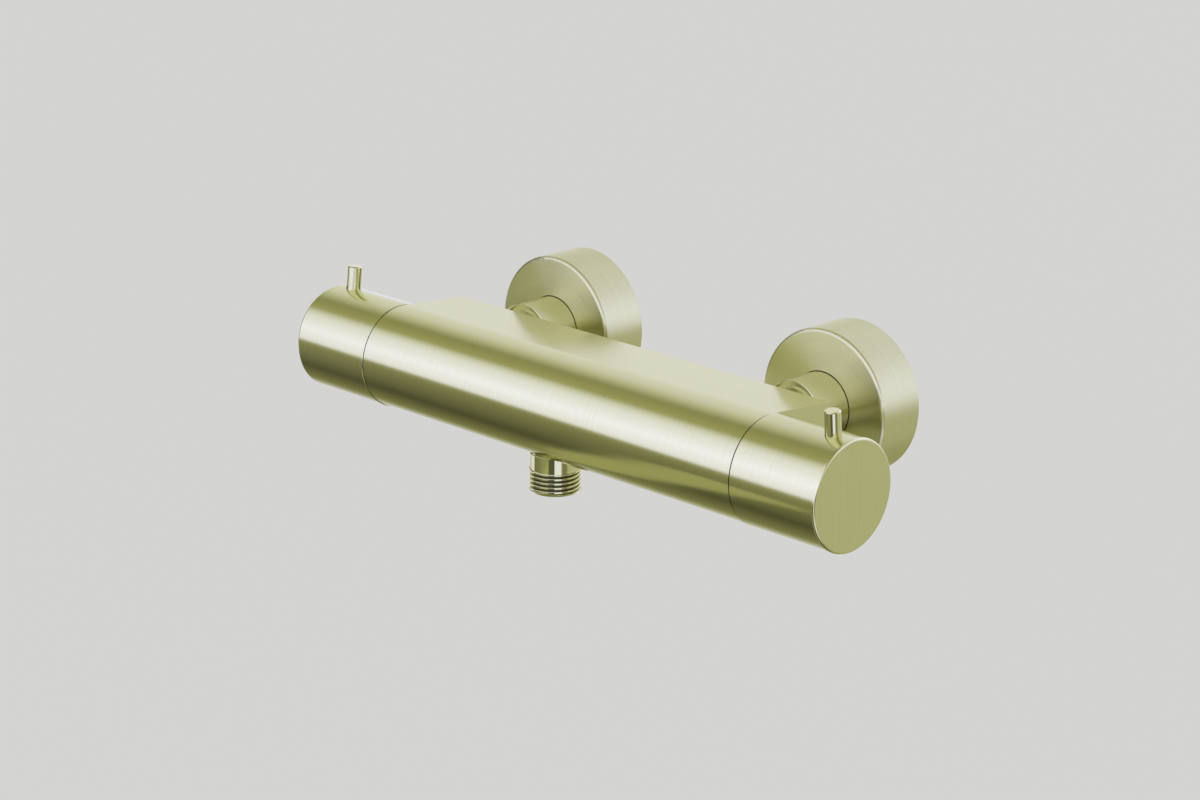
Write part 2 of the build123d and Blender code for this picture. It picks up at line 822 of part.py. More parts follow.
with BuildPart() as regulating_spool:
    with BuildSketch(along_bar(1)):
        with BuildLine():
            Polyline(
                (spool_start, spool_bore_radius),
                (spool_start, spool_radius),
                *groove(spool_ring_middle, spool_cord, spool_radius),
                (spool_end, spool_radius),
                (spool_end, spool_bore_radius),
                (cartridge_middle, spool_bore_radius),
                (cartridge_middle, spool_hub_bore_radius),
                (hub_start, spool_hub_bore_radius),
                (hub_start, spool_bore_radius),
                close=True,
            )
        make_face()
    revolve(axis=bar_axis(1))
    with BuildSketch(across_bar(1, hub_start)):
        with PolarLocations(0, spool_slot_count):
            add(sector(spool_slot_inner_radius, spool_slot_outer_radius, 0, spool_slot_angle))
    extrude(amount=spool_hub_thickness, mode=Mode.SUBTRACT)
regulating_spool.part.label = "regulating_spool"
export_step(regulating_spool.part, "parts/regulating_spool.step")

with BuildPart() as spool_o_ring:
    with BuildSketch(along_bar(1)):
        with Locations((spool_ring_middle, spool_radius - spool_cord)):
            RegularPolygon(spool_cord, cord_flat_count)
    revolve(axis=bar_axis(1))
spool_o_ring.part.label = "spool_o_ring"
export_step(spool_o_ring.part, "parts/spool_o_ring.step")

# Wax element: bulb in the mixed water, flange against the hub, guide through it and rod to the button
with BuildPart() as wax_element:
    with BuildSketch(along_bar(1)):
        with BuildLine():
            Polyline(
                (base_ring_end + bulb_clearance, 0),
                (base_ring_end + bulb_clearance, bulb_radius),
                (hub_start - element_flange_thickness, bulb_radius),
                (hub_start - element_flange_thickness, element_flange_radius),
                (hub_start, element_flange_radius),
                (hub_start, element_guide_radius),
                (hub_start + element_guide_length, element_guide_radius),
                (hub_start + element_guide_length, element_rod_radius),
                (button_start, element_rod_radius),
                (button_start, 0),
                close=True,
            )
        make_face()
    revolve(axis=bar_axis(1))
    fillet(wax_element.faces().sort_by(Axis.X)[0].edges(), bulb_clearance)
wax_element.part.label = "wax_element"
export_step(wax_element.part, "parts/wax_element.step")

with BuildPart() as return_spring:
    with BuildLine() as coil:
        Helix(
            return_spring_pitch,
            hub_start - base_ring_end - 2 * return_spring_wire,
            return_spring_radius,
            center=(base_ring_end + return_spring_wire, bar_y, bar_z),
            direction=(1, 0, 0),
        )
    with BuildSketch(Plane(origin=coil.line @ 0, z_dir=coil.line % 0)):
        RegularPolygon(return_spring_wire, wire_flat_count)
    sweep(path=coil.line, is_frenet=True)
return_spring.part.label = "return_spring"
export_step(return_spring.part, "parts/return_spring.step")

# Overload cup, moved along by the spindle's thread, with the button, spring and clip that it holds
with BuildPart() as overload_cup:
    with BuildSketch(along_bar(1)):
        with BuildLine():
            Polyline(
                (cup_start, cup_bore_radius),
                (cup_start, cup_chamber_radius - running_clearance),
                (cup_end, cup_chamber_radius - running_clearance),
                (cup_end, spindle_thread_radius + running_clearance),
                (cup_floor, spindle_thread_radius + running_clearance),
                (cup_floor, cup_bore_radius),
                close=True,
            )
        make_face()
    revolve(axis=bar_axis(1))
overload_cup.part.label = "overload_cup"
export_step(overload_cup.part, "parts/overload_cup.step")

with BuildPart() as overload_button:
    with BuildSketch(across_bar(1, button_start)):
        Circle(cup_bore_radius - seat_clearance)
    extrude(amount=button_thickness)
overload_button.part.label = "overload_button"
export_step(overload_button.part, "parts/overload_button.step")

with BuildPart() as overload_clip:
    with BuildSketch(across_bar(1, cup_start)):
        Circle(cup_bore_radius - seat_clearance)
        Circle(clip_inner_radius, mode=Mode.SUBTRACT)
    extrude(amount=clip_thickness)
overload_clip.part.label = "overload_clip"
export_step(overload_clip.part, "parts/overload_clip.step")

with BuildPart() as overload_spring:
    with BuildLine() as coil:
        Helix(
            overload_spring_pitch,
            cup_floor - button_end - 2 * overload_spring_wire,
            overload_spring_radius,
            center=(button_end + overload_spring_wire, bar_y, bar_z),
            direction=(1, 0, 0),
        )
    with BuildSketch(Plane(origin=coil.line @ 0, z_dir=coil.line % 0)):
        RegularPolygon(overload_spring_wire, wire_flat_count)
    sweep(path=coil.line, is_frenet=True)
overload_spring.part.label = "overload_spring"
export_step(overload_spring.part, "parts/overload_spring.step")

# Temperature spindle: thread in the cup, collar behind the shoulder, sealed journal, spline outside
journal_ring_middle = (hex_end + neck_end) / 2

with BuildPart() as temperature_spindle:
    with BuildSketch(along_bar(1)):
        with BuildLine():
            Polyline(
                (cup_end - spindle_thread_reach, 0),
                (cup_end - spindle_thread_reach, spindle_thread_radius),
                (shoulder - spindle_collar_thickness, spindle_thread_radius),
                (shoulder - spindle_collar_thickness, spindle_collar_radius),
                (shoulder - face_gap, spindle_collar_radius),
                (shoulder - face_gap, journal_radius),
                *groove(journal_ring_middle, journal_cord, journal_radius),
                (spline_start, journal_radius),
                (spline_start, 0),
                close=True,
            )
        make_face()
    revolve(axis=bar_axis(1))
    with BuildSketch(across_bar(1, spline_start)):
        add(spline_section(0))
    extrude(amount=spline_length)
    with BuildSketch(across_bar(1, spindle_end - screw_grip)):
        Circle(screw_radius + thread_clearance)
    extrude(amount=screw_grip, mode=Mode.SUBTRACT)
temperature_spindle.part.label = "temperature_spindle"
export_step(temperature_spindle.part, "parts/temperature_spindle.step")

with BuildPart() as temperature_spindle_o_ring:
    with BuildSketch(along_bar(1)):
        with Locations((journal_ring_middle, journal_radius - journal_cord)):
            RegularPolygon(journal_cord, cord_flat_count)
    revolve(axis=bar_axis(1))
temperature_spindle_o_ring.part.label = "temperature_spindle_o_ring"
export_step(temperature_spindle_o_ring.part, "parts/temperature_spindle_o_ring.step")

# Flow cartridge: two ceramic discs in a turned housing that seals on the body at its inner end
flow_outer_radius = flow_bore_radius - seat_clearance
flow_groove_middle = end - flow_groove_inset
stem_groove_middle = end - stem_groove_inset
stem_radius = flow_stem_radius - running_clearance

with BuildPart() as flow_cartridge_housing:
    with BuildSketch(along_bar(-1)):
        with BuildLine():
            Polyline(
                (flow_housing_start, flow_disc_bore_radius),
                (flow_housing_start, flow_window_radius),
                (flow_bottom + flow_window_length, flow_window_radius),
                (flow_bottom + flow_window_length, flow_outer_radius),
                *groove(flow_groove_middle, flow_cord, flow_outer_radius),
                (end, flow_outer_radius),
                (end, neck_radius),
                (neck_end, neck_radius),
                (neck_end, journal_radius + running_clearance),
                (flow_shoulder, journal_radius + running_clearance),
                (flow_shoulder, flow_stem_radius),
                (disc_bore_end, flow_stem_radius),
                (disc_bore_end, flow_disc_bore_radius),
                close=True,
            )
        make_face()
    revolve(axis=bar_axis(-1))
    with BuildSketch(across_bar(-1, end)):
        RegularPolygon(flow_hex_across / 2, 6, major_radius=False)
        Circle(neck_radius, mode=Mode.SUBTRACT)
    extrude(amount=hex_thickness)
    with BuildSketch(across_bar(-1, flow_housing_start + flow_window_start)):
        with PolarLocations(0, 2):
            add(sector(flow_stem_radius, flow_bore_radius, 0, flow_window_angle))
    extrude(amount=flow_window_width, mode=Mode.SUBTRACT)
flow_cartridge_housing.part.label = "flow_cartridge_housing"
export_step(flow_cartridge_housing.part, "parts/flow_cartridge_housing.step")

with BuildPart() as flow_cartridge_o_ring:
    with BuildSketch(along_bar(-1)):
        with Locations((flow_groove_middle, flow_outer_radius - flow_cord)):
            RegularPolygon(flow_cord, cord_flat_count)
    revolve(axis=bar_axis(-1))
flow_cartridge_o_ring.part.label = "flow_cartridge_o_ring"
export_step(flow_cartridge_o_ring.part, "parts/flow_cartridge_o_ring.step")

with BuildPart() as flow_seat_seal:
    with BuildSketch(across_bar(-1, flow_bottom)):
        Circle(seat_seal_outer_radius)
        Circle(seat_seal_inner_radius, mode=Mode.SUBTRACT)
    extrude(amount=seat_seal_thickness)
flow_seat_seal.part.label = "flow_seat_seal"
export_step(flow_seat_seal.part, "parts/flow_seat_seal.step")

with BuildPart() as flow_fixed_disc:
    with BuildSketch(across_bar(-1, seal_end)):
        Circle(flow_disc_bore_radius - seat_clearance)
        with PolarLocations(0, 2, start_angle=90):
            add(sector(disc_port_inner_radius, disc_port_outer_radius, 0, disc_port_angle), mode=Mode.SUBTRACT)
    extrude(amount=disc_thickness)
flow_fixed_disc.part.label = "flow_fixed_disc"
export_step(flow_fixed_disc.part, "parts/flow_fixed_disc.step")

# Moving disc: its ports lie a quarter turn from the fixed ones while shut, and lugs drive it
with BuildPart() as flow_moving_disc:
    with BuildSketch(across_bar(-1, moving_disc_start)):
        Circle(flow_disc_bore_radius - moving_disc_clearance)
        with PolarLocations(0, 2):
            add(sector(disc_port_inner_radius, disc_port_outer_radius, 0, disc_port_angle), mode=Mode.SUBTRACT)
    extrude(amount=disc_thickness)
    with BuildSketch(across_bar(-1, moving_disc_end - lug_depth - lug_clearance)):
        with Locations((0, lug_reach), (0, -lug_reach)):
            Rectangle(lug_width + 2 * lug_clearance, lug_length + 2 * lug_clearance)
    extrude(amount=lug_depth + lug_clearance, mode=Mode.SUBTRACT)
flow_moving_disc.part.label = "flow_moving_disc"
export_step(flow_moving_disc.part, "parts/flow_moving_disc.step")

with BuildPart() as flow_spindle:
    with BuildSketch(along_bar(-1)):
        with BuildLine():
            Polyline(
                (fork_end, 0),
                (fork_end, stem_radius),
                *groove(stem_groove_middle, journal_cord, stem_radius),
                (flow_shoulder - face_gap, stem_radius),
                (flow_shoulder - face_gap, journal_radius),
                (spline_start, journal_radius),
                (spline_start, 0),
                close=True,
            )
        make_face()
    revolve(axis=bar_axis(-1))
    with BuildSketch(across_bar(-1, moving_disc_end + face_gap)):
        Rectangle(fork_width, 2 * lug_reach + lug_length)
    extrude(amount=fork_thickness)
    with BuildSketch(across_bar(-1, moving_disc_end - lug_depth)):
        with Locations((0, lug_reach), (0, -lug_reach)):
            Rectangle(lug_width, lug_length)
    extrude(amount=lug_depth + fork_thickness / 2)
    with BuildSketch(across_bar(-1, spline_start)):
        add(spline_section(0))
    extrude(amount=spline_length)
    with BuildSketch(across_bar(-1, spindle_end - screw_grip)):
        Circle(screw_radius + thread_clearance)
    extrude(amount=screw_grip, mode=Mode.SUBTRACT)
flow_spindle.part.label = "flow_spindle"
export_step(flow_spindle.part, "parts/flow_spindle.step")

with BuildPart() as flow_spindle_o_ring:
    with BuildSketch(along_bar(-1)):
        with Locations((stem_groove_middle, stem_radius - journal_cord)):
            RegularPolygon(journal_cord, cord_flat_count)
    revolve(axis=bar_axis(-1))
flow_spindle_o_ring.part.label = "flow_spindle_o_ring"
export_step(flow_spindle_o_ring.part, "parts/flow_spindle_o_ring.step")

# Both handles: the same cup, pin, insert and screw, with a stop ring for each one's own range
stop_middle = 270.0

for side, name, lean, full_range, back_range in (
    (-1, "flow", flow_pin_lean, flow_range, 0.0),
    (1, "temperature", temperature_pin_lean, temperature_range, temperature_range - temperature_hot_range),
):
    pin_direction = (0, -side * sin(radians(lean)), cos(radians(lean)))
    pin_plane = Plane(origin=(side * pin_place, bar_y, bar_z), x_dir=(1, 0, 0), z_dir=pin_direction)
    stop_tab_angle = 360 - full_range - insert_tab_angle - 2 * stop_margin
    insert_tab_middle = stop_middle + (stop_tab_angle + insert_tab_angle) / 2 + stop_margin + back_range

    with BuildPart() as handle:
        with BuildSketch(along_bar(side)):
            with BuildLine():
                Polyline(
                    (handle_mouth, handle_bore_radius),
                    (handle_mouth, handle_radius - handle_mouth_chamfer),
                    (handle_mouth + handle_mouth_chamfer, handle_radius),
                    (handle_end, handle_radius),
                    (handle_end, 0),
                    (handle_end - handle_end_wall, 0),
                    (handle_end - handle_end_wall, handle_bore_radius),
                    close=True,
                )
            make_face()
        revolve(axis=bar_axis(side))
        fillet(handle.faces().sort_by(bar_axis(side))[-1].edges(), handle_edge_radius)
        with BuildSketch(pin_plane.offset(rim_outer_radius)):
            Circle(pin_radius + seat_clearance)
        extrude(amount=handle_radius, mode=Mode.SUBTRACT)
    handle.part.label = f"{name}_handle"
    export_step(handle.part, f"parts/{name}_handle.step")

    with BuildPart() as handle_pin:
        with BuildSketch(pin_plane.offset(rim_outer_radius)):
            Circle(pin_radius)
        extrude(amount=pin_reach - rim_outer_radius)
        chamfer(handle_pin.edges().filter_by(GeomType.CIRCLE).sort_by(Axis.Z)[-1], pin_chamfer)
        with BuildSketch(pin_plane.offset(rim_outer_radius - pin_shank_length)):
            Circle(pin_shank_radius)
        extrude(amount=pin_shank_length)
    handle_pin.part.label = f"{name}_handle_pin"
    export_step(handle_pin.part, f"parts/{name}_handle_pin.step")

    with BuildPart() as handle_insert:
        with BuildSketch(along_bar(side)):
            with BuildLine():
                Polyline(
                    (insert_start, 0),
                    (insert_start, insert_hub_radius),
                    (rim_start, insert_hub_radius),
                    (rim_start, rim_outer_radius),
                    (insert_end, rim_outer_radius),
                    (insert_end, insert_rim_radius),
                    (web_end, insert_rim_radius),
                    (web_end, 0),
                    close=True,
                )
            make_face()
        revolve(axis=bar_axis(side))
        with BuildSketch(across_bar(side, insert_tab_start)):
            add(sector(stop_inner_radius, stop_outer_radius, insert_tab_middle, insert_tab_angle))
        extrude(amount=rim_start - insert_tab_start + insert_web_thickness / 2)
        with BuildSketch(across_bar(side, insert_start)):
            add(spline_section(seat_clearance))
        extrude(amount=insert_wall_start - insert_start, mode=Mode.SUBTRACT)
        with BuildSketch(across_bar(side, insert_wall_start)):
            Circle(screw_radius + screw_hole_clearance)
        extrude(amount=insert_wall, mode=Mode.SUBTRACT)
        with BuildSketch(across_bar(side, insert_wall_end)):
            Circle(screw_head_radius + screw_recess_clearance)
        extrude(amount=handle_length, mode=Mode.SUBTRACT)
        with BuildSketch(pin_plane.offset(insert_rim_radius / 2)):
            Circle(pin_shank_radius + thread_clearance)
        extrude(amount=handle_radius, mode=Mode.SUBTRACT)
    handle_insert.part.label = f"{name}_handle_insert"
    export_step(handle_insert.part, f"parts/{name}_handle_insert.step")

    with BuildPart() as handle_screw:
        with BuildSketch(across_bar(side, insert_wall_start - screw_grip)):
            Circle(screw_radius)
        extrude(amount=screw_grip + insert_wall)
        with BuildSketch(across_bar(side, insert_wall_end)):
            Circle(screw_head_radius)
            RegularPolygon(screw_socket_across / 2, 6, major_radius=False, mode=Mode.SUBTRACT)
        extrude(amount=screw_head_height)
        with BuildSketch(across_bar(side, insert_wall_end)):
            Circle(screw_radius)
        extrude(amount=screw_head_height - screw_socket_depth)
    handle_screw.part.label = f"{name}_handle_screw"
    export_step(handle_screw.part, f"parts/{name}_handle_screw.step")

    with BuildPart() as stop_ring:
        with BuildSketch(across_bar(side, hex_end)):
            Circle(stop_ring_radius)
            Circle(neck_radius + seat_clearance, mode=Mode.SUBTRACT)
        extrude(amount=stop_ring_thickness)
        with BuildSketch(across_bar(side, hex_end)):
            add(sector(neck_radius + seat_clearance, stop_outer_radius, stop_middle, stop_tab_angle))
        extrude(amount=stop_tab_height)
    stop_ring.part.label = f"{name}_stop_ring"
    export_step(stop_ring.part, f"parts/{name}_stop_ring.step")
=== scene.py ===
"""Scene for a wall-mounted bar shower mixer in brushed brass.

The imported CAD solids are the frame. This script cuts the pipe threads, winds the springs that get
shorter, gives every piece its finish and sets up the stage: a pale floor, soft light, a reflection
tent and the camera.
"""

import json
from math import cos, pi, radians, sin

import bpy
import numpy as np
from bpy.props import FloatProperty, IntProperty, PointerProperty, StringProperty
from mathutils import Matrix, Vector


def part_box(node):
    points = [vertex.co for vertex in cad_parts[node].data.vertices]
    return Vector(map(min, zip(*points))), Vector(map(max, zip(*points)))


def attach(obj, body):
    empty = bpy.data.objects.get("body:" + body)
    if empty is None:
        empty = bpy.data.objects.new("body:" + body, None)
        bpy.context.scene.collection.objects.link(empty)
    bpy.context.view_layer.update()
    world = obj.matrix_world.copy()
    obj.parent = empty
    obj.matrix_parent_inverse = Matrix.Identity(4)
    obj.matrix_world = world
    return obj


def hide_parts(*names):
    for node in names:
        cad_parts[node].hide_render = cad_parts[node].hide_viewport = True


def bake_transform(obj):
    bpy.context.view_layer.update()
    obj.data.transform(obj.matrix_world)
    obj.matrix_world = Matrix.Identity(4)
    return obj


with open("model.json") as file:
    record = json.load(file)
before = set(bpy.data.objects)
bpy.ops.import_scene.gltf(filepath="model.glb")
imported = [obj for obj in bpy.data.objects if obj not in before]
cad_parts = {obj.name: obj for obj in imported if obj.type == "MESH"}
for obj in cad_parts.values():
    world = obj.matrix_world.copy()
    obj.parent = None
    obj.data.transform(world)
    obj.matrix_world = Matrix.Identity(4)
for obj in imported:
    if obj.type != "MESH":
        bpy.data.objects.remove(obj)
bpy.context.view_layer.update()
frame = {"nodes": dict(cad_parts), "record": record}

bl_info = {
    "name": "Bar Shower Mixer",
    "version": (1, 0, 0),
    "blender": (4, 5, 0),
    "location": "View3D > Sidebar > Mixer",
    "description": "Threads, finishes and studio for a wall-mounted bar shower mixer",
    "category": "Object",
}

MM = 0.001

# Places of the frame's own axes, in metres, read from its nodes
BAR_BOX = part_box("temperature_handle")
BAR_Y = (BAR_BOX[0].y + BAR_BOX[1].y) / 2
BAR_Z = (BAR_BOX[0].z + BAR_BOX[1].z) / 2
RIGHT_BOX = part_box("rosette_right")
INLET_X = (RIGHT_BOX[0].x + RIGHT_BOX[1].x) / 2
INLET_Z = (RIGHT_BOX[0].z + RIGHT_BOX[1].z) / 2
OUTLET_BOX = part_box("outlet_nipple")
OUTLET_X = (OUTLET_BOX[0].x + OUTLET_BOX[1].x) / 2
OUTLET_RADIUS = (OUTLET_BOX[1].x - OUTLET_BOX[0].x) / 2
OUTLET_END = OUTLET_BOX[0].z
UNION_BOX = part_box("eccentric_union_right")

# Chamfer past each thread's end
THREAD_CHAMFER = 0.8 * MM
# End of the outlet's plain neck, below the bar's axis
OUTLET_NECK_END = 26.8 * MM
# Radii of the eccentric union's wall stub and of its front, which the nut screws onto
STUB_RADIUS = 10.4775 * MM
UNION_RADIUS = 11.96 * MM
# Faces of the union's plate, in front of the wall
UNION_PLATE_BACK = 4.0 * MM
UNION_PLATE_FRONT = 9.0 * MM
# Plain necks between the plate and the two threads
STUB_NECK = 2.0 * MM
UNION_NECK = 1.0 * MM


# Settings


class MixerThreadSettings(bpy.types.PropertyGroup):
    """Sizes of the threads that are cut into the outlet and the eccentric unions."""

    pitch: FloatProperty(
        name="Pitch",
        description="Distance from one crest to the next, 14 to the inch",
        default=1.814 * MM,
        subtype="DISTANCE",
        unit="LENGTH",
    )
    depth: FloatProperty(
        name="Depth",
        description="Height of the crests above the roots",
        default=1.1 * MM,
        subtype="DISTANCE",
        unit="LENGTH",
    )
    around: IntProperty(
        name="Steps around",
        description="Steps of the thread's surface in one turn",
        default=144,
        min=24,
    )
    per_pitch: IntProperty(
        name="Steps along",
        description="Steps of the thread's surface in one pitch",
        default=20,
        min=6,
    )


class MixerSpringSettings(bpy.types.PropertyGroup):
    """Sizes of the springs that get shorter as a valve or the regulator moves."""

    valve_wire: FloatProperty(
        name="Valve wire",
        description="Radius of the check valve springs' wire",
        default=0.2 * MM,
        subtype="DISTANCE",
        unit="LENGTH",
    )
    valve_pitch: FloatProperty(
        name="Valve pitch",
        description="Distance between two turns of a check valve spring",
        default=1.7 * MM,
        subtype="DISTANCE",
        unit="LENGTH",
    )
    return_wire: FloatProperty(
        name="Return wire",
        description="Radius of the return spring's wire",
        default=0.7 * MM,
        subtype="DISTANCE",
        unit="LENGTH",
    )
    return_pitch: FloatProperty(
        name="Return pitch",
        description="Distance between two turns of the return spring",
        default=3.0 * MM,
        subtype="DISTANCE",
        unit="LENGTH",
    )
    around: IntProperty(
        name="Steps around",
        description="Steps round the wire's section",
        default=12,
        min=6,
    )
    per_turn: IntProperty(
        name="Steps per turn",
        description="Steps along the wire in one turn",
        default=48,
        min=12,
    )


class MixerFinishSettings(bpy.types.PropertyGroup):
    """Colours of the finishes, as sRGB hex values, and the brushing's grain."""

    brass: StringProperty(
        name="Brushed brass",
        description="Colour of the bar, the handles, the covers and the nuts",
        default="#D2D09A",
    )
    polished: StringProperty(
        name="Polished brass",
        description="Colour of the pins and the outlet",
        default="#D8D6A2",
    )
    turned: StringProperty(
        name="Turned brass",
        description="Colour of the bare brass pieces inside",
        default="#DACB88",
    )
    steel: StringProperty(
        name="Steel",
        description="Colour of the springs, the screws and the other stainless steel pieces",
        default="#B9B8B4",
    )
    rubber: StringProperty(
        name="Rubber",
        description="Colour of the seals",
        default="#1B1B1C",
    )
    acetal: StringProperty(
        name="Acetal",
        description="Colour of the white plastic pieces",
        default="#E4E3DC",
    )
    nylon: StringProperty(
        name="Nylon",
        description="Colour of the grey plastic pieces",
        default="#46484A",
    )
    alumina: StringProperty(
        name="Alumina",
        description="Colour of the flow cartridge's two discs",
        default="#EFEDE6",
    )
    copper: StringProperty(
        name="Copper",
        description="Colour of the wax element",
        default="#C88A66",
    )
    grain: FloatProperty(
        name="Grain width",
        description="Width of one brushing line, drawn coarser than a real one so that it shows",
        default=0.3 * MM,
        subtype="DISTANCE",
        unit="LENGTH",
    )
    grain_length: FloatProperty(
        name="Grain length",
        description="Length of one brushing line",
        default=12.0 * MM,
        subtype="DISTANCE",
        unit="LENGTH",
    )


class MixerStageSettings(bpy.types.PropertyGroup):
    """Camera, floor and light of the studio."""

    azimuth: FloatProperty(
        name="Azimuth",
        description="Direction from which the camera looks, round from the front to the right",
        default=radians(44.36),
        subtype="ANGLE",
        unit="ROTATION",
    )
    elevation: FloatProperty(
        name="Elevation",
        description="Angle at which the camera looks down",
        default=radians(17.45),
        subtype="ANGLE",
        unit="ROTATION",
    )
    roll: FloatProperty(
        name="Roll",
        description="Tilt of the camera about its own line of sight",
        default=radians(0.76),
        subtype="ANGLE",
        unit="ROTATION",
    )
    lens: FloatProperty(
        name="Lens",
        description="Focal length in millimetres on a sensor 36 mm wide",
        default=90.9,
        min=10.0,
    )
    floor: StringProperty(
        name="Floor",
        description="Colour of the floor and the backdrop",
        default="#D5D5D3",
    )
    floor_height: FloatProperty(
        name="Floor height",
        description="Height of the floor below the wall stubs' axis",
        default=-1.6,
        subtype="DISTANCE",
        unit="LENGTH",
    )
    floor_glow: FloatProperty(
        name="Floor glow",
        description="Share of the floor's look that is a plain glow and takes no shade",
        default=0.97,
        min=0.0,
        max=1.0,
    )


# Meshes

# Share of the thread's wave that is cut off flat at the crests
CREST = 0.35
# Shares of a pitch over which the groove fades in after the neck and out before the end
FADE_IN = 0.5
FADE_OUT = 0.25
# How far the first and last rings of a threaded wall tuck in under the solid's edges
TUCK = 0.1 * MM
# How near the corners of a plain wall lie to its radius and its ends
WALL_SLACK = 0.02 * MM


def mesh_object(name, points, faces, smooth_angle=35.0):
    """Make an object from arrays of points and of faces, smooth except at edges past the angle."""
    mesh = bpy.data.meshes.new(name)
    mesh.from_pydata(points.tolist(), [], faces.tolist())
    mesh.validate()
    mesh.shade_smooth()
    mesh.set_sharp_from_angle(angle=radians(smooth_angle))
    made = bpy.data.objects.new(name, mesh)
    bpy.context.scene.collection.objects.link(made)
    return made


def thread_wall(origin, along, across, radius, start, end, neck, settings):
    """Points and triangles of a threaded cylinder wall.

    The grid's two parameters are the angle a and the place s along the axis. The radius is the crest
    radius less the depth times a groove. The groove is half of one less the cosine of the phase, cut
    off below the crest share and stretched back to one, so that crests are flat and grooves steep,
    and then one less the square of what is left over, so that roots are round.
    The phase is s over the pitch less a over a full turn. The groove fades in after the plain neck
    and out before the end. The first and last rings tuck in under the edges of the solid that they
    meet.
    """
    along = np.array(along, float)
    across = np.array(across, float)
    third = np.cross(along, across)
    count = int(round((end - start) / settings.pitch * settings.per_pitch))
    angles = np.linspace(0.0, 2.0 * pi, settings.around, endpoint=False)
    places = np.linspace(start, end, count)
    angle, place = np.meshgrid(angles, places)
    phase = 2.0 * pi * (place - start) / settings.pitch - angle
    groove = np.clip((0.5 - 0.5 * np.cos(phase) - CREST) / (1.0 - CREST), 0.0, 1.0)
    groove = groove * (2.0 - groove)
    fade_in = np.clip((place - start - neck) / (FADE_IN * settings.pitch), 0.0, 1.0)
    fade_out = np.clip((end - place) / (FADE_OUT * settings.pitch), 0.0, 1.0)
    size = radius - settings.depth * groove * fade_in * fade_out
    size[[0, -1]] -= TUCK
    ring = np.cos(angle)[..., None] * across + np.sin(angle)[..., None] * third
    points = np.array(origin, float) + place[..., None] * along + size[..., None] * ring
    row, column = np.meshgrid(np.arange(count - 1), np.arange(settings.around), indexing="ij")
    following = (column + 1) % settings.around
    a = row * settings.around + column
    b = row * settings.around + following
    c = (row + 1) * settings.around + following
    d = (row + 1) * settings.around + column
    one = np.stack([a, b, c], -1).reshape(-1, 3)
    two = np.stack([a, c, d], -1).reshape(-1, 3)
    return points.reshape(-1, 3), np.concatenate([one, two])


def node_arrays(node):
    """Points and triangles of a CAD node, with the points of touching triangles merged."""
    mesh = frame["nodes"][node].data
    mesh.calc_loop_triangles()
    points = np.empty(len(mesh.vertices) * 3)
    mesh.vertices.foreach_get("co", points)
    triangles = np.empty(len(mesh.loop_triangles) * 3, int)
    mesh.loop_triangles.foreach_get("vertices", triangles)
    merged, place = np.unique(np.round(points.reshape(-1, 3), 7), axis=0, return_inverse=True)
    triangles = place.reshape(-1)[triangles].reshape(-1, 3)
    whole = (triangles[:, 0] != triangles[:, 1]) & (triangles[:, 1] != triangles[:, 2])
    whole &= triangles[:, 0] != triangles[:, 2]
    return merged, triangles[whole]


def threaded_copy(name, node, walls, settings):
    """Copy a CAD node, take its plain cylinder walls out and put threaded walls in their place.

    Each wall is (origin, axis, across, radius, start, end, neck). A triangle belongs to the wall when
    all three corners lie at the wall's radius from the axis and between its two ends. The new walls
    are smooth all over, also where a flank meets a crest.
    """
    points, triangles = node_arrays(node)
    pieces = [points]
    faces = []
    offset = len(points)
    for origin, along, across, radius, start, end, neck in walls:
        along = np.array(along, float)
        reach = points - np.array(origin, float)
        place = reach @ along
        distance = np.linalg.norm(reach - place[:, None] * along, axis=1)
        on_wall = abs(distance - radius) < WALL_SLACK
        on_wall &= (place > start - WALL_SLACK) & (place < end + WALL_SLACK)
        triangles = triangles[~on_wall[triangles].all(axis=1)]
        wall_points, wall_faces = thread_wall(origin, along, across, radius, start, end, neck, settings)
        pieces.append(wall_points)
        faces.append(wall_faces + offset)
        offset += len(wall_points)
    made = mesh_object(name, np.concatenate(pieces), np.concatenate([triangles, *faces]))
    mesh = made.data
    ends = np.empty(len(mesh.edges) * 2, int)
    mesh.edges.foreach_get("vertices", ends)
    sharp = np.empty(len(mesh.edges), bool)
    mesh.attributes["sharp_edge"].data.foreach_get("value", sharp)
    sharp[(ends.reshape(-1, 2) >= len(points)).all(axis=1)] = False
    mesh.attributes["sharp_edge"].data.foreach_set("value", sharp)
    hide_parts(node)
    return made


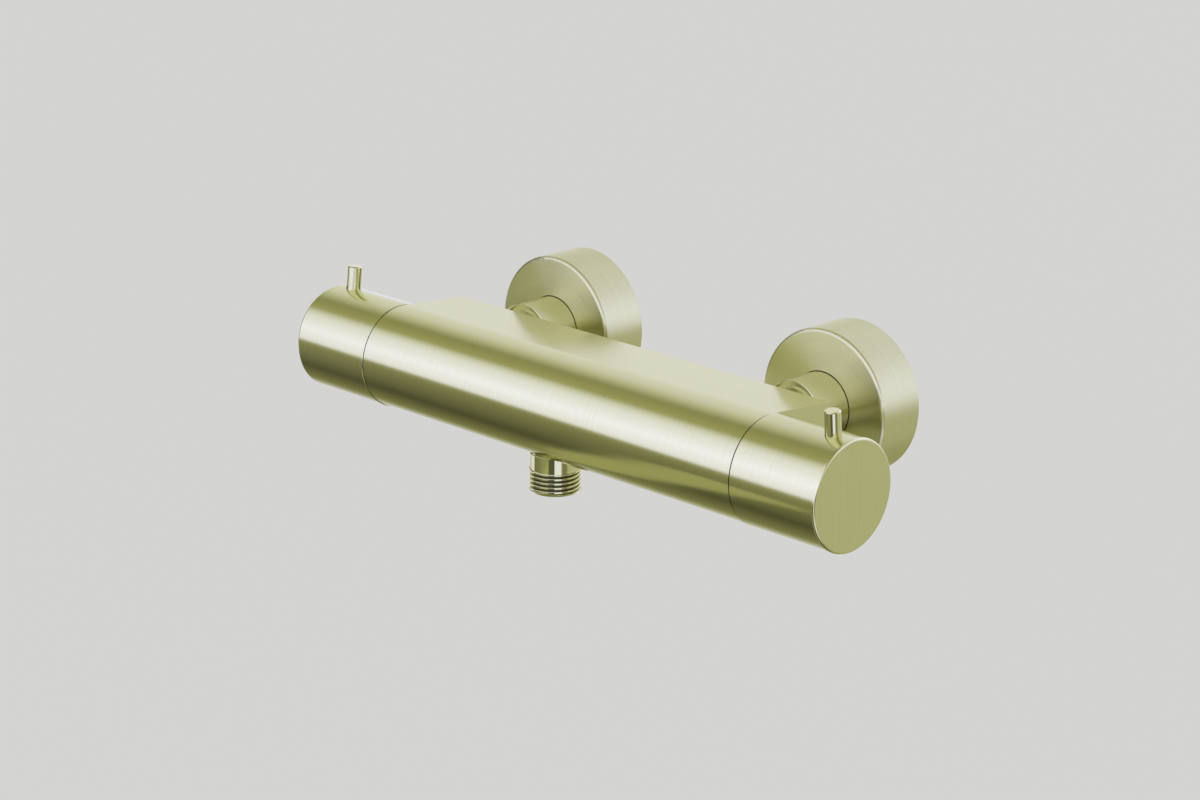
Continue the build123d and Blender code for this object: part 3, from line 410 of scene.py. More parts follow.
def wind_spring(node, direction, wire, pitch, settings):
    """Wind a spring in the place of a CAD spring, as a round section carried along a helix.

    The grid's two parameters are the place t along the wire and the angle b round its section. The
    helix turns about the axis once in each pitch, at the radius and over the length that the node's
    box leaves for the wire. At each t the section is a circle of the wire's radius across the
    helix's own direction. Both ends are closed with a fan of triangles.
    """
    low, high = (np.array(corner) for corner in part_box(node))
    along = np.array(direction, float)
    across = np.array((0.0, 0.0, 1.0))
    third = np.cross(along, across)
    radius = (high[2] - low[2]) / 2 - wire
    length = abs((high - low) @ along) - 2 * wire
    turn = 2.0 * pi * length / pitch
    t = np.linspace(0.0, 1.0, int(length / pitch * settings.per_turn) + 1)[:, None]
    radial = np.cos(turn * t) * across + np.sin(turn * t) * third
    centre = (low + high) / 2 + (t - 0.5) * length * along + radius * radial
    course = length * along + radius * turn * (np.cos(turn * t) * third - np.sin(turn * t) * across)
    course /= np.linalg.norm(course, axis=1, keepdims=True)
    side = np.cross(course, radial)
    b = np.linspace(0.0, 2.0 * pi, settings.around, endpoint=False)[None, :, None]
    points = centre[:, None] + wire * (np.cos(b) * radial[:, None] + np.sin(b) * side[:, None])
    row, column = np.meshgrid(np.arange(len(t) - 1), np.arange(settings.around), indexing="ij")
    following = (column + 1) % settings.around
    first = row * settings.around
    last = first + settings.around
    one = np.stack([first + column, first + following, last + following], -1).reshape(-1, 3)
    two = np.stack([first + column, last + following, last + column], -1).reshape(-1, 3)
    rim = np.arange(1, settings.around - 1)
    fan = np.stack([np.zeros_like(rim), rim, rim + 1], -1)
    faces = np.concatenate([one, two, fan[:, ::-1], fan + (len(t) - 1) * settings.around])
    made = mesh_object(f"{node}_wound", points.reshape(-1, 3), faces, 60.0)
    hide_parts(node)
    return made


# Materials

# Tint of brass near grazing, which keeps its colour there as it is seen face on
GRAZING_TINT = (0.865, 0.858, 0.671, 1.0)

# Other sockets of the surface shader, for plastics and ceramics, for metals and for the outer brass
PLAIN = {}
METAL = {"Metallic": 1.0}
OUTER_BRASS = METAL | {"Specular Tint": GRAZING_TINT}

# Brushing of the outer brass: its lowest and highest roughness, and how far it stretches a light
BAR_BRUSHING = ((0.13, 0.19), 0.6)
COVER_BRUSHING = ((0.24, 0.34), 0.92)
NUT_BRUSHING = ((0.18, 0.26), 0.8)
# Scale of the broad streaks against that of the brushing lines
STREAKS = 0.22
# Spread of a brushed finish's colour, and the strength and height of its bump
BRUSHED_SPREAD = 0.07
BRUSHED_BUMP = (0.22, 0.006 * MM)
# Part of the normal along the bar past which a face is one of its ends
END_FACING = 0.8
# Change of a turned finish's grain over one radian, low so that its lines run round the axis
GRAIN_ROUND = 2.0

# Painted shade in the outlet's thread grooves: the share of the colour left at the roots, and the share of
# the depth under the crests at which the painted shade ends
ROOT_SHADE = 0.12
GROOVE_SHADE_TOP = 0.35
# Polish of the outlet: size of its grain, its lowest and highest roughness, and the height of its bump
POLISH_GRAIN = 0.4 * MM
POLISH_ROUGHNESS = (0.06, 0.1)
POLISH_BUMP = 0.001 * MM

# Spread of the roughness and strength of the bump in a finish with an even grain
ROUGHNESS_SPREAD = 0.2
GRAIN_BUMP = 0.5

# Finishes with an even grain. Each row is the setting that holds the colour, the material's name, the
# size of its grain, the spread of its colour, its roughness, the height of its bump and its sockets.
GRAINED_FINISHES = {
    # Turning marks too fine to show one by one, which soften the yellow shine
    "raw_brass": ("turned", "Brass, turned, inner pieces", 0.5 * MM, 0.08, 0.28, 0.004 * MM, METAL),
    # Fine drawing marks, which leave a soft grey shine
    "stainless_steel": (
        "steel",
        "Stainless steel, drawn and turned",
        0.3 * MM,
        0.08,
        0.3,
        0.003 * MM,
        METAL,
    ),
    # Near black and dull, from a fine-blasted mould
    "black_rubber": ("rubber", "EPDM rubber, moulded", 0.25 * MM, 0.15, 0.62, 0.01 * MM, PLAIN),
    # Even white with a low, waxy shine
    "white_plastic": ("acetal", "Acetal, moulded white", 0.8 * MM, 0.03, 0.42, 0.003 * MM, PLAIN),
    # Dark grey, dulled by the glass fibres at its skin
    "grey_plastic": ("nylon", "Glass-filled nylon, moulded", 0.4 * MM, 0.1, 0.5, 0.006 * MM, PLAIN),
    # Warm white with a clear shine, since its faces are lapped flat
    "ceramic": ("alumina", "Alumina ceramic, lapped", 0.6 * MM, 0.02, 0.12, 0.001 * MM, PLAIN),
    # Warm red metal with a soft shine
    "copper": ("copper", "Copper, drawn", 0.5 * MM, 0.08, 0.3, 0.003 * MM, METAL),
    # As the inner brass, a little duller
    "union_brass": ("turned", "Brass, turned, bare", 0.5 * MM, 0.08, 0.3, 0.004 * MM, METAL),
    # Smooth wire, brighter than the turned steel
    "spring_steel": ("steel", "Spring steel, drawn bright", 0.3 * MM, 0.06, 0.24, 0.002 * MM, METAL),
    # Near mirror, which shows the light cards as sharp stripes
    "pin_brass": ("polished", "Brass, polished pins", 0.4 * MM, 0.03, 0.1, 0.001 * MM, OUTER_BRASS),
}
# The record's material slots whose pieces take the finish of the same name
INNER_SLOTS = (
    "raw_brass",
    "stainless_steel",
    "black_rubber",
    "white_plastic",
    "grey_plastic",
    "ceramic",
    "copper",
)


def linear(colour):
    """Linear RGBA of an sRGB hex colour such as #D2D09A."""
    parts = [int(colour[i : i + 2], 16) / 255.0 for i in (1, 3, 5)]
    return [p / 12.92 if p <= 0.04045 else ((p + 0.055) / 1.055) ** 2.4 for p in parts] + [1.0]


def add_node(tree, kind, inputs=None, **settings):
    """Add a node to a tree, set its own settings, and set or link each of its inputs."""
    made = tree.nodes.new(kind)
    for name, value in settings.items():
        setattr(made, name, value)
    for socket, value in (inputs or {}).items():
        if isinstance(value, bpy.types.NodeSocket):
            tree.links.new(value, made.inputs[socket])
        else:
            made.inputs[socket].default_value = value
    return made


def new_material(name):
    """Make an empty node material and return it with its tree."""
    made = bpy.data.materials.new(name)
    made.use_nodes = True
    made.node_tree.nodes.clear()
    return made, made.node_tree


def varied(tree, colour, factor, spread):
    """Scale a colour between one less the spread and one plus the spread by a factor of 0 to 1."""
    scale = add_node(
        tree, "ShaderNodeMapRange", {"Value": factor, "To Min": 1.0 - spread, "To Max": 1.0 + spread}
    )
    mixed = add_node(
        tree, "ShaderNodeVectorMath", {0: colour[:3], "Scale": scale.outputs[0]}, operation="SCALE"
    )
    return mixed.outputs[0]


def finish_surface(tree, colour, grain, height, roughness, bump, sockets):
    """Add the surface shader and the output of a finish.

    The grain, from 0 to 1, spreads the roughness over its range. The height, from 0 to 1, is lifted by
    the bump's strength and distance. The other sockets are set or linked as given.
    """
    low, high = roughness
    strength, distance = bump
    rough = add_node(tree, "ShaderNodeMapRange", {"Value": grain, "To Min": low, "To Max": high})
    lift = add_node(
        tree, "ShaderNodeBump", {"Height": height, "Strength": strength, "Distance": distance}
    )
    surface = {"Base Color": colour, "Roughness": rough.outputs[0], "Normal": lift.outputs[0]}
    shader = add_node(tree, "ShaderNodeBsdfPrincipled", surface | sockets)
    add_node(tree, "ShaderNodeOutputMaterial", {"Surface": shader.outputs[0]})


def brushed_bar_brass(name, colour, settings):
    """Brushed brass, ground with a belt that ran round the bar.

    Lines lie in planes square to the bar, so a light stretches along the bar and stays sharp round it.
    End faces are brushed straight, from top to bottom.
    """
    made, tree = new_material(name)
    coordinates = add_node(tree, "ShaderNodeTexCoord")
    place = add_node(tree, "ShaderNodeSeparateXYZ", {0: coordinates.outputs["Object"]})
    facing = add_node(tree, "ShaderNodeSeparateXYZ", {0: coordinates.outputs["Normal"]})
    endwise = add_node(tree, "ShaderNodeMath", {0: facing.outputs["X"]}, operation="ABSOLUTE")
    on_end = add_node(
        tree, "ShaderNodeMath", {0: endwise.outputs[0], 1: END_FACING}, operation="GREATER_THAN"
    )
    fine = 1.0 / settings.grain
    slow = 1.0 / settings.grain_length
    across = add_node(tree, "ShaderNodeMix", {"Factor": on_end.outputs[0], "A": slow, "B": fine})
    scaled = {}
    for axis, scale in (("X", fine), ("Y", across.outputs[0]), ("Z", slow)):
        part = add_node(tree, "ShaderNodeMath", {0: place.outputs[axis], 1: scale}, operation="MULTIPLY")
        scaled[axis] = part.outputs[0]
    grain_place = add_node(tree, "ShaderNodeCombineXYZ", scaled)
    tangent_end = add_node(
        tree,
        "ShaderNodeVectorTransform",
        {"Vector": (0.0, 1.0, 0.0)},
        vector_type="VECTOR",
        convert_from="OBJECT",
        convert_to="WORLD",
    )
    tangent = add_node(
        tree,
        "ShaderNodeMix",
        {"Factor": on_end.outputs[0], "A": (1.0, 0.0, 0.0), "B": tangent_end.outputs[0]},
        data_type="VECTOR",
    )
    finish_brushed(tree, colour, grain_place.outputs[0], tangent.outputs["Result"], *BAR_BRUSHING)
    return made


def brushed_turned_brass(name, colour, centre, settings, brushing):
    """Brushed brass, ground while it turned in a lathe about an axis along Y.

    Lines run round the axis on the side and on the face, so a light stretches across them.
    """
    made, tree = new_material(name)
    coordinates = add_node(tree, "ShaderNodeTexCoord")
    reach = add_node(
        tree, "ShaderNodeVectorMath", {0: coordinates.outputs["Object"], 1: centre}, operation="SUBTRACT"
    )
    place = add_node(tree, "ShaderNodeSeparateXYZ", {0: reach.outputs[0]})
    flat = add_node(tree, "ShaderNodeCombineXYZ", {"X": place.outputs["X"], "Z": place.outputs["Z"]})
    radius = add_node(tree, "ShaderNodeVectorMath", {0: flat.outputs[0]}, operation="LENGTH")
    angle = add_node(
        tree, "ShaderNodeMath", {0: place.outputs["Z"], 1: place.outputs["X"]}, operation="ARCTAN2"
    )
    fine = 1.0 / settings.grain
    scaled = {}
    for axis, value, scale in (
        ("X", radius.outputs["Value"], fine),
        ("Y", place.outputs["Y"], fine),
        ("Z", angle.outputs[0], GRAIN_ROUND),
    ):
        part = add_node(tree, "ShaderNodeMath", {0: value, 1: scale}, operation="MULTIPLY")
        scaled[axis] = part.outputs[0]
    grain_place = add_node(tree, "ShaderNodeCombineXYZ", scaled)
    around = add_node(
        tree, "ShaderNodeVectorMath", {0: (0.0, 1.0, 0.0), 1: flat.outputs[0]}, operation="CROSS_PRODUCT"
    )
    tangent = add_node(
        tree,
        "ShaderNodeVectorMath",
        {0: coordinates.outputs["Normal"], 1: around.outputs[0]},
        operation="CROSS_PRODUCT",
    )
    straight = add_node(tree, "ShaderNodeVectorMath", {0: tangent.outputs[0]}, operation="NORMALIZE")
    finish_brushed(tree, colour, grain_place.outputs[0], straight.outputs[0], *brushing)
    return made


def finish_brushed(tree, colour, grain_place, tangent, roughness, stretch):
    """Colour, roughness and bump of the brushing lines, from the place in units of the grain.

    Real lines are finer than the grain. They are drawn coarser, so that they show.
    """
    lines = add_node(tree, "ShaderNodeTexNoise", {"Vector": grain_place, "Scale": 1.0, "Detail": 2.0})
    streaks = add_node(
        tree, "ShaderNodeTexNoise", {"Vector": grain_place, "Scale": STREAKS, "Detail": 3.0}
    )
    both = add_node(
        tree,
        "ShaderNodeMix",
        {"Factor": 0.5, "A": lines.outputs["Fac"], "B": streaks.outputs["Fac"]},
    )
    finish_surface(
        tree,
        varied(tree, colour, both.outputs[0], BRUSHED_SPREAD),
        streaks.outputs["Fac"],
        both.outputs[0],
        roughness,
        BRUSHED_BUMP,
        OUTER_BRASS | {"Anisotropic": stretch, "Tangent": tangent},
    )


def polished_brass_groove_shade(name, colour, depth):
    """Polished brass, turned, with painted shade in its thread grooves.

    The colour falls from the crests' to a dark painted shade towards the roots, with the distance from the
    outlet's axis.
    """
    made, tree = new_material(name)
    coordinates = add_node(tree, "ShaderNodeTexCoord")
    reach = add_node(
        tree,
        "ShaderNodeVectorMath",
        {0: coordinates.outputs["Object"], 1: (OUTLET_X, BAR_Y, 0.0)},
        operation="SUBTRACT",
    )
    flat = add_node(
        tree, "ShaderNodeVectorMath", {0: reach.outputs[0], 1: (1.0, 1.0, 0.0)}, operation="MULTIPLY"
    )
    radius = add_node(tree, "ShaderNodeVectorMath", {0: flat.outputs[0]}, operation="LENGTH")
    # Painted shade: the colour darkens towards the thread's roots, with the distance from the outlet's axis
    tone = add_node(
        tree,
        "ShaderNodeMapRange",
        {
            "Value": radius.outputs["Value"],
            "From Min": OUTLET_RADIUS - depth,
            "From Max": OUTLET_RADIUS - GROOVE_SHADE_TOP * depth,
            "To Min": ROOT_SHADE,
        },
    )
    groove_shaded = add_node(
        tree, "ShaderNodeVectorMath", {0: colour[:3], "Scale": tone.outputs[0]}, operation="SCALE"
    )
    noise = add_node(
        tree,
        "ShaderNodeTexNoise",
        {"Vector": coordinates.outputs["Object"], "Scale": 1.0 / POLISH_GRAIN},
    )
    grain = noise.outputs["Fac"]
    bump = (GRAIN_BUMP, POLISH_BUMP)
    finish_surface(tree, groove_shaded.outputs[0], grain, grain, POLISH_ROUGHNESS, bump, OUTER_BRASS)
    return made


def grained(finish, settings):
    """A finish with an even noise grain, whose values are a row of the grained finishes."""
    setting, name, size, spread, roughness, height, sockets = GRAINED_FINISHES[finish]
    made, tree = new_material(name)
    coordinates = add_node(tree, "ShaderNodeTexCoord")
    noise = add_node(
        tree,
        "ShaderNodeTexNoise",
        {"Vector": coordinates.outputs["Object"], "Scale": 1.0 / size, "Detail": 4.0},
    )
    grain = noise.outputs["Fac"]
    colour = varied(tree, linear(getattr(settings, setting)), grain, spread)
    low = roughness * (1.0 - ROUGHNESS_SPREAD)
    high = roughness * (1.0 + ROUGHNESS_SPREAD)
    finish_surface(tree, colour, grain, grain, (low, high), (GRAIN_BUMP, height), sockets)
    return made


def give(material, *nodes):
    """Put a material on CAD nodes."""
    for name in nodes:
        node = frame["nodes"][name]
        if not node.material_slots:
            node.data.materials.append(material)
        for slot in node.material_slots:
            slot.material = material


# Stage

# The tent's light round the bar's axis. Each row is an angle in degrees, from straight ahead and
# positive upwards, and the level of the light there as the grey that it prints on brass. Levels and
# angles are round ones: a bright window ahead, a darker ceiling above it and a pale wall behind.
WINDOW = (
    (-10, 140),
    (-5, 225),
    (20, 240),
    (50, 220),
    (60, 200),
    (70, 150),
    (95, 130),
    (115, 180),
    (130, 200),
)
# The same with the dark table below and the wall behind it, to the left and to the right
LEFT_BANDS = ((-180, 220), (-135, 200), (-105, 120), (-65, 70), (-15, 120)) + WINDOW
RIGHT_BANDS = ((-180, 215), (-160, 170), (-130, 160), (-110, 120), (-15, 130)) + WINDOW + ((155, 235),)
# Cards below the horizon in front, by the sideways part of the direction: level and opacity
CARDS = (
    (-0.86, 210, 1.0),
    (-0.83, 210, 0.0),
    (0.10, 130, 0.0),
    (0.20, 90, 1.0),
    (0.60, 70, 1.0),
    (0.66, 215, 1.0),
    (0.89, 215, 1.0),
    (0.92, 110, 1.0),
)
# Level of the card far to the left, which the covers' faces mirror
LEFT_CARD = 60
# A small card under the bar. Each row is the place along the bar and the two angles round its axis
# between which the card stands.
STRIP = (
    (-0.130, -100, -80),
    (-0.110, -95, -65),
    (-0.085, -85, -50),
    (-0.065, -75, -35),
    (-0.035, -55, -27),
    (0.010, -35, -25),
    (0.030, -30, -25),
)
STRIP_RADIUS = 0.16
STRIP_LEVEL = 150
STRIP_COLUMNS = 8
TENT_RADIUS = 1.5
# Strength of the tent's light, high enough to keep every card's colour under one
TENT_PEAK = 2.6

# Soft edges between the tent's lights: where the next one starts to show, and where it is full. The
# first two are sideways parts of the direction, the others degrees round the bar's axis.
RIGHT_SIDE = (-0.5, -0.25)
LEFT_CARD_SIDE = (-0.84, -0.9)
LEFT_CARD_FOOT = (-36.0, -30.0)
LEFT_CARD_TOP = (110.0, 95.0)
CARDS_TOP = (-9.0, -12.0)
CARDS_FOOT = (-112.0, -104.0)

# How far a print's blue lies under its level on brass: a share of a dark level, and for a bright one a
# distance that holds at one level and shrinks above it
DARK_WARMTH = 0.42
BRIGHT_WARMTH = 64.0
BRIGHT_LEVEL = 150.0
BRIGHT_FALL = 0.64

# Floor: its front edge and the start of its bend along Y, the bend's radius, the backdrop's top over
# the floor, half its width, and the steps of the bend
FLOOR_FRONT = -6.0
FLOOR_BACK = 4.0
FLOOR_BEND = 1.5
BACKDROP_TOP = 6.0
FLOOR_HALF = 9.0
BEND_STEPS = 16
# Paint of the floor: patches of its tone to the metre, and how far the tone spreads
PAINT_SCALE = 3.0
PAINT_SPREAD = 0.004

LAMP_SIZE = (1.6, 1.2)
LAMP_POWER = 14.0
LAMP_PLACE = (0.3, -0.9, 1.7)
CAMERA_PLACE = (0.8064, -0.8944, 0.3660)
SENSOR_WIDTH = 36.0


def build_floor(stage):
    """A pale floor that runs back and curves up into a backdrop, a quarter circle between two flats.

    Most of its colour is a plain glow for rays from the camera and for mirror and glass rays, so that
    it prints as one even grey. The rest is lit paint, which keeps the object's shadow.
    """
    turn = np.linspace(0.0, pi / 2, BEND_STEPS + 1)
    curve_y = FLOOR_BACK + FLOOR_BEND * np.sin(turn)
    curve_z = FLOOR_BEND - FLOOR_BEND * np.cos(turn)
    y = np.concatenate([[FLOOR_FRONT], curve_y, [FLOOR_BACK + FLOOR_BEND]])
    z = np.concatenate([[0.0], curve_z, [BACKDROP_TOP]]) + stage.floor_height
    x = np.array([-FLOOR_HALF, FLOOR_HALF])
    points = np.stack([np.repeat(x, len(y)), np.tile(y, 2), np.tile(z, 2)], axis=-1)
    row = np.arange(len(y) - 1)
    faces = np.stack([row, row + len(y), row + len(y) + 1, row + 1], axis=-1)
    floor = mesh_object("floor", points, faces, 60.0)
    made, tree = new_material("Matt paint, pale grey")
    colour = linear(stage.floor)
    coordinates = add_node(tree, "ShaderNodeTexCoord")
    noise = add_node(
        tree, "ShaderNodeTexNoise", {"Vector": coordinates.outputs["Object"], "Scale": PAINT_SCALE}
    )
    tone = varied(tree, colour, noise.outputs["Fac"], PAINT_SPREAD)
    paint = add_node(
        tree,
        "ShaderNodeBsdfPrincipled",
        {"Base Color": tone, "Roughness": 0.9, "Specular IOR Level": 0.1},
    )
    glow = add_node(tree, "ShaderNodeEmission", {"Color": colour, "Strength": 1.0})
    path = add_node(tree, "ShaderNodeLightPath")
    seen = path.outputs["Is Camera Ray"]
    for ray in ("Is Glossy Ray", "Is Transmission Ray"):
        either = add_node(tree, "ShaderNodeMath", {0: seen, 1: path.outputs[ray]}, operation="MAXIMUM")
        seen = either.outputs[0]
    share = add_node(tree, "ShaderNodeMath", {0: seen, 1: stage.floor_glow}, operation="MULTIPLY")
    mixed = add_node(
        tree, "ShaderNodeMixShader", {0: share.outputs[0], 1: paint.outputs[0], 2: glow.outputs[0]}
    )
    add_node(tree, "ShaderNodeOutputMaterial", {"Surface": mixed.outputs[0]})
    made.cycles.emission_sampling = "NONE"
    floor.data.materials.append(made)


def card_light(level, brass):
    """Light that prints a level on brass, warm where it is dark and near white where it is bright.

    The print's blue lies under the level by the smaller of two lines, one that rises with the level
    and one that falls towards white.
    """
    blue = level - min(DARK_WARMTH * level, BRIGHT_WARMTH - BRIGHT_FALL * (level - BRIGHT_LEVEL))
    printed = linear(f"#{level:02X}{level:02X}{round(blue):02X}")
    return [part / (base * TENT_PEAK) for part, base in zip(printed[:3], brass)] + [1.0]


def light_ramp(tree, factor, rows, brass):
    """A colour ramp whose rows are place from 0 to 1, level and opacity."""
    ramp = add_node(tree, "ShaderNodeValToRGB", {"Fac": factor})
    stops = ramp.color_ramp.elements
    while len(stops) < len(rows):
        stops.new(0.5)
    for stop, (place, level, opacity) in zip(stops, rows):
        stop.position = place
        stop.color = card_light(level, brass)[:3] + [opacity]
    return ramp


def inside_edges(tree, *edges):
    """Factor of 1 inside soft edges and 0 outside them, the product of a rise across each edge.

    Each edge is the value that it lies across, where the rise starts and where it is full.
    """
    factor = 1.0
    for value, start, full in edges:
        rise = add_node(tree, "ShaderNodeMapRange", {"Value": value, "From Min": start, "From Max": full})
        product = add_node(tree, "ShaderNodeMath", {0: factor, 1: rise.outputs[0]}, operation="MULTIPLY")
        factor = product.outputs[0]
    return factor


def hang_card(card, made, light):
    """Let a card glow in a light, and hide it from all rays but those of mirrors."""
    tree = made.node_tree
    glow = add_node(tree, "ShaderNodeEmission", {"Color": light, "Strength": TENT_PEAK})
    add_node(tree, "ShaderNodeOutputMaterial", {"Surface": glow.outputs[0]})
    made.cycles.emission_sampling = "NONE"
    card.data.materials.append(made)
    card.visible_camera = False
    card.visible_diffuse = False
    card.visible_transmission = False
    card.visible_shadow = False


def build_tent(brass):
    """A sphere of light cards round the mixer that only reflections see.

    Its light is a colour ramp over the angle round the bar's axis, one to the left and one to the
    right. The cards in front and the card far to the left lie over it, each inside its soft edges.
    """
    bpy.ops.mesh.primitive_uv_sphere_add(segments=64, ring_count=32, radius=TENT_RADIUS, location=(0, 0, 0))
    tent = bpy.context.object
    tent.name = tent.data.name = "reflection_tent"
    tent.data.transform(Matrix.Translation((0.0, BAR_Y, BAR_Z)))
    tent.data.shade_smooth()
    made, tree = new_material("Light cards, painted in bands")
    coordinates = add_node(tree, "ShaderNodeTexCoord")
    reach = add_node(
        tree,
        "ShaderNodeVectorMath",
        {0: coordinates.outputs["Object"], 1: (0.0, BAR_Y, BAR_Z)},
        operation="SUBTRACT",
    )
    direction = add_node(tree, "ShaderNodeVectorMath", {0: reach.outputs[0]}, operation="NORMALIZE")
    place = add_node(tree, "ShaderNodeSeparateXYZ", {0: direction.outputs[0]})
    sideways = place.outputs["X"]
    ahead = add_node(tree, "ShaderNodeMath", {0: place.outputs["Y"], 1: -1.0}, operation="MULTIPLY")
    round_bar = add_node(
        tree, "ShaderNodeMath", {0: place.outputs["Z"], 1: ahead.outputs[0]}, operation="ARCTAN2"
    )
    turn = round_bar.outputs[0]
    turned = add_node(tree, "ShaderNodeMapRange", {"Value": turn, "From Min": -pi, "From Max": pi})
    sides = []
    for bands in (LEFT_BANDS, RIGHT_BANDS):
        rows = [((angle + 180.0) / 360.0, level, 1.0) for angle, level in bands + ((180, bands[0][1]),)]
        sides.append(light_ramp(tree, turned.outputs[0], rows, brass).outputs["Color"])
    across = add_node(tree, "ShaderNodeMapRange", {"Value": sideways, "From Min": -1.0, "From Max": 1.0})
    rows = [((part + 1.0) / 2.0, level, opacity) for part, level, opacity in CARDS]
    cards = light_ramp(tree, across.outputs[0], rows, brass)
    on_right = inside_edges(tree, (sideways, *RIGHT_SIDE))
    under = inside_edges(tree, (turn, *np.radians(CARDS_TOP)), (turn, *np.radians(CARDS_FOOT)))
    on_cards = add_node(
        tree, "ShaderNodeMath", {0: under, 1: cards.outputs["Alpha"]}, operation="MULTIPLY"
    )
    on_left_card = inside_edges(
        tree,
        (turn, *np.radians(LEFT_CARD_FOOT)),
        (turn, *np.radians(LEFT_CARD_TOP)),
        (sideways, *LEFT_CARD_SIDE),
    )
    light = sides[0]
    for factor, over in (
        (on_right, sides[1]),
        (on_cards.outputs[0], cards.outputs["Color"]),
        (on_left_card, card_light(LEFT_CARD, brass)),
    ):
        mixed = add_node(tree, "ShaderNodeMix", {"Factor": factor, "A": light, "B": over}, data_type="RGBA")
        light = mixed.outputs["Result"]
    hang_card(tent, made, light)


def build_strip(brass):
    """A pale card bent round the bar's axis near it, which only mirror rays see.

    Its rows hold a few points each, at even angles between the two edges, on a cylinder round the axis.
    """
    rows = np.array(STRIP)
    angle = np.radians(np.linspace(rows[:, 1], rows[:, 2], STRIP_COLUMNS, axis=1))
    x = np.repeat(rows[:, :1], STRIP_COLUMNS, axis=1)
    y = BAR_Y - STRIP_RADIUS * np.cos(angle)
    z = BAR_Z + STRIP_RADIUS * np.sin(angle)
    points = np.stack([x, y, z], axis=-1)
    row, column = np.meshgrid(np.arange(len(rows) - 1), np.arange(STRIP_COLUMNS - 1), indexing="ij")
    a = row * STRIP_COLUMNS + column
    faces = np.stack([a, a + 1, a + STRIP_COLUMNS + 1, a + STRIP_COLUMNS], axis=-1).reshape(-1, 4)
    strip = mesh_object("reflection_strip", points.reshape(-1, 3), faces, 60.0)
    made, _ = new_material("Light card, plain")
    hang_card(strip, made, card_light(STRIP_LEVEL, brass))


def build_light(stage):
    """A soft world in the backdrop's colour, and one large soft lamp above."""
    world = bpy.data.worlds.new("Studio")
    bpy.context.scene.world = world
    world.use_nodes = True
    tree = world.node_tree
    tree.nodes.clear()
    glow = add_node(tree, "ShaderNodeBackground", {"Color": linear(stage.floor), "Strength": 1.0})
    add_node(tree, "ShaderNodeOutputWorld", {"Surface": glow.outputs[0]})
    world.cycles_visibility.glossy = False
    lamp = bpy.data.lights.new("overhead_softbox", "AREA")
    lamp.shape = "RECTANGLE"
    lamp.size, lamp.size_y = LAMP_SIZE
    lamp.energy = LAMP_POWER
    made = bpy.data.objects.new("overhead_softbox", lamp)
    made.location = LAMP_PLACE
    aim = Vector((0.0, BAR_Y, 0.0)) - made.location
    made.rotation_euler = aim.to_track_quat("-Z", "Y").to_euler()
    made.visible_glossy = False
    bpy.context.scene.collection.objects.link(made)


def build_camera(scene, stage):
    """Camera at the photograph's place, whose three axes come from its azimuth, elevation and roll."""
    back = Vector(
        (
            sin(stage.azimuth) * cos(stage.elevation),
            -cos(stage.azimuth) * cos(stage.elevation),
            sin(stage.elevation),
        )
    )
    level = Vector((cos(stage.azimuth), sin(stage.azimuth), 0.0))
    right = level * cos(stage.roll) + back.cross(level) * sin(stage.roll)
    up = back.cross(right)
    data = bpy.data.cameras.new("camera")
    data.sensor_width = SENSOR_WIDTH
    data.lens = stage.lens
    made = bpy.data.objects.new("camera", data)
    turned = Matrix((right, up, back)).transposed().to_4x4()
    made.matrix_world = Matrix.Translation(CAMERA_PLACE) @ turned
    scene.collection.objects.link(made)
    scene.camera = made
    scene.view_settings.view_transform = "Standard"


# Operators


class MIXER_OT_build_stage(bpy.types.Operator):
    """Set up the floor, the light, the reflection tent and the camera"""

    bl_idname = "mixer.build_stage"
    bl_label = "Build Stage"

    def execute(self, context):
        stage = context.scene.mixer_stage
        build_floor(stage)
        brass = linear(context.scene.mixer_finish.brass)[:3]
        build_tent(brass)
        build_strip(brass)
        build_light(stage)
        build_camera(context.scene, stage)
        return {"FINISHED"}


class MIXER_OT_cut_outlet_thread(bpy.types.Operator):
    """Replace the plain outlet nipple with one whose hose thread is cut"""

    bl_idname = "mixer.cut_outlet_thread"
    bl_label = "Cut Outlet Thread"

    def execute(self, context):
        settings = context.scene.mixer_thread
        colour = linear(context.scene.mixer_finish.polished)
        wall = (
            (OUTLET_X, BAR_Y, BAR_Z),
            (0, 0, -1),
            (1, 0, 0),
            OUTLET_RADIUS,
            OUTLET_NECK_END,
            BAR_Z - OUTLET_END - THREAD_CHAMFER,
            0.0,
        )
        made = threaded_copy("outlet_nipple_threaded", "outlet_nipple", [wall], settings)
        # The outlet's finish paints shade into its thread grooves
        brass = polished_brass_groove_shade("Brass, turned and polished", colour, settings.depth)
        made.data.materials.append(brass)
        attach(made, "mixer")
        return {"FINISHED"}


class MIXER_OT_cut_union_threads(bpy.types.Operator):
    """Replace the plain eccentric unions with ones whose wall and nut threads are cut"""

    bl_idname = "mixer.cut_union_threads"
    bl_label = "Cut Union Threads"

    def execute(self, context):
        settings = context.scene.mixer_thread
        brass = grained("union_brass", context.scene.mixer_finish)
        for side, hand in ((-1, "left"), (1, "right")):
            stub = (
                (side * INLET_X, 0.0, 0.0),
                (0, 1, 0),
                (1, 0, 0),
                STUB_RADIUS,
                -UNION_PLATE_BACK,
                UNION_BOX[1].y - THREAD_CHAMFER,
                STUB_NECK,
            )
            union = (
                (side * INLET_X, 0.0, INLET_Z),
                (0, -1, 0),
                (1, 0, 0),
                UNION_RADIUS,
                UNION_PLATE_FRONT,
                -UNION_BOX[0].y - THREAD_CHAMFER,
                UNION_NECK,
            )
            node = f"eccentric_union_{hand}"
            made = threaded_copy(f"{node}_threaded", node, [stub, union], settings)
            made.data.materials.append(brass)
            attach(made, "mixer")
        return {"FINISHED"}


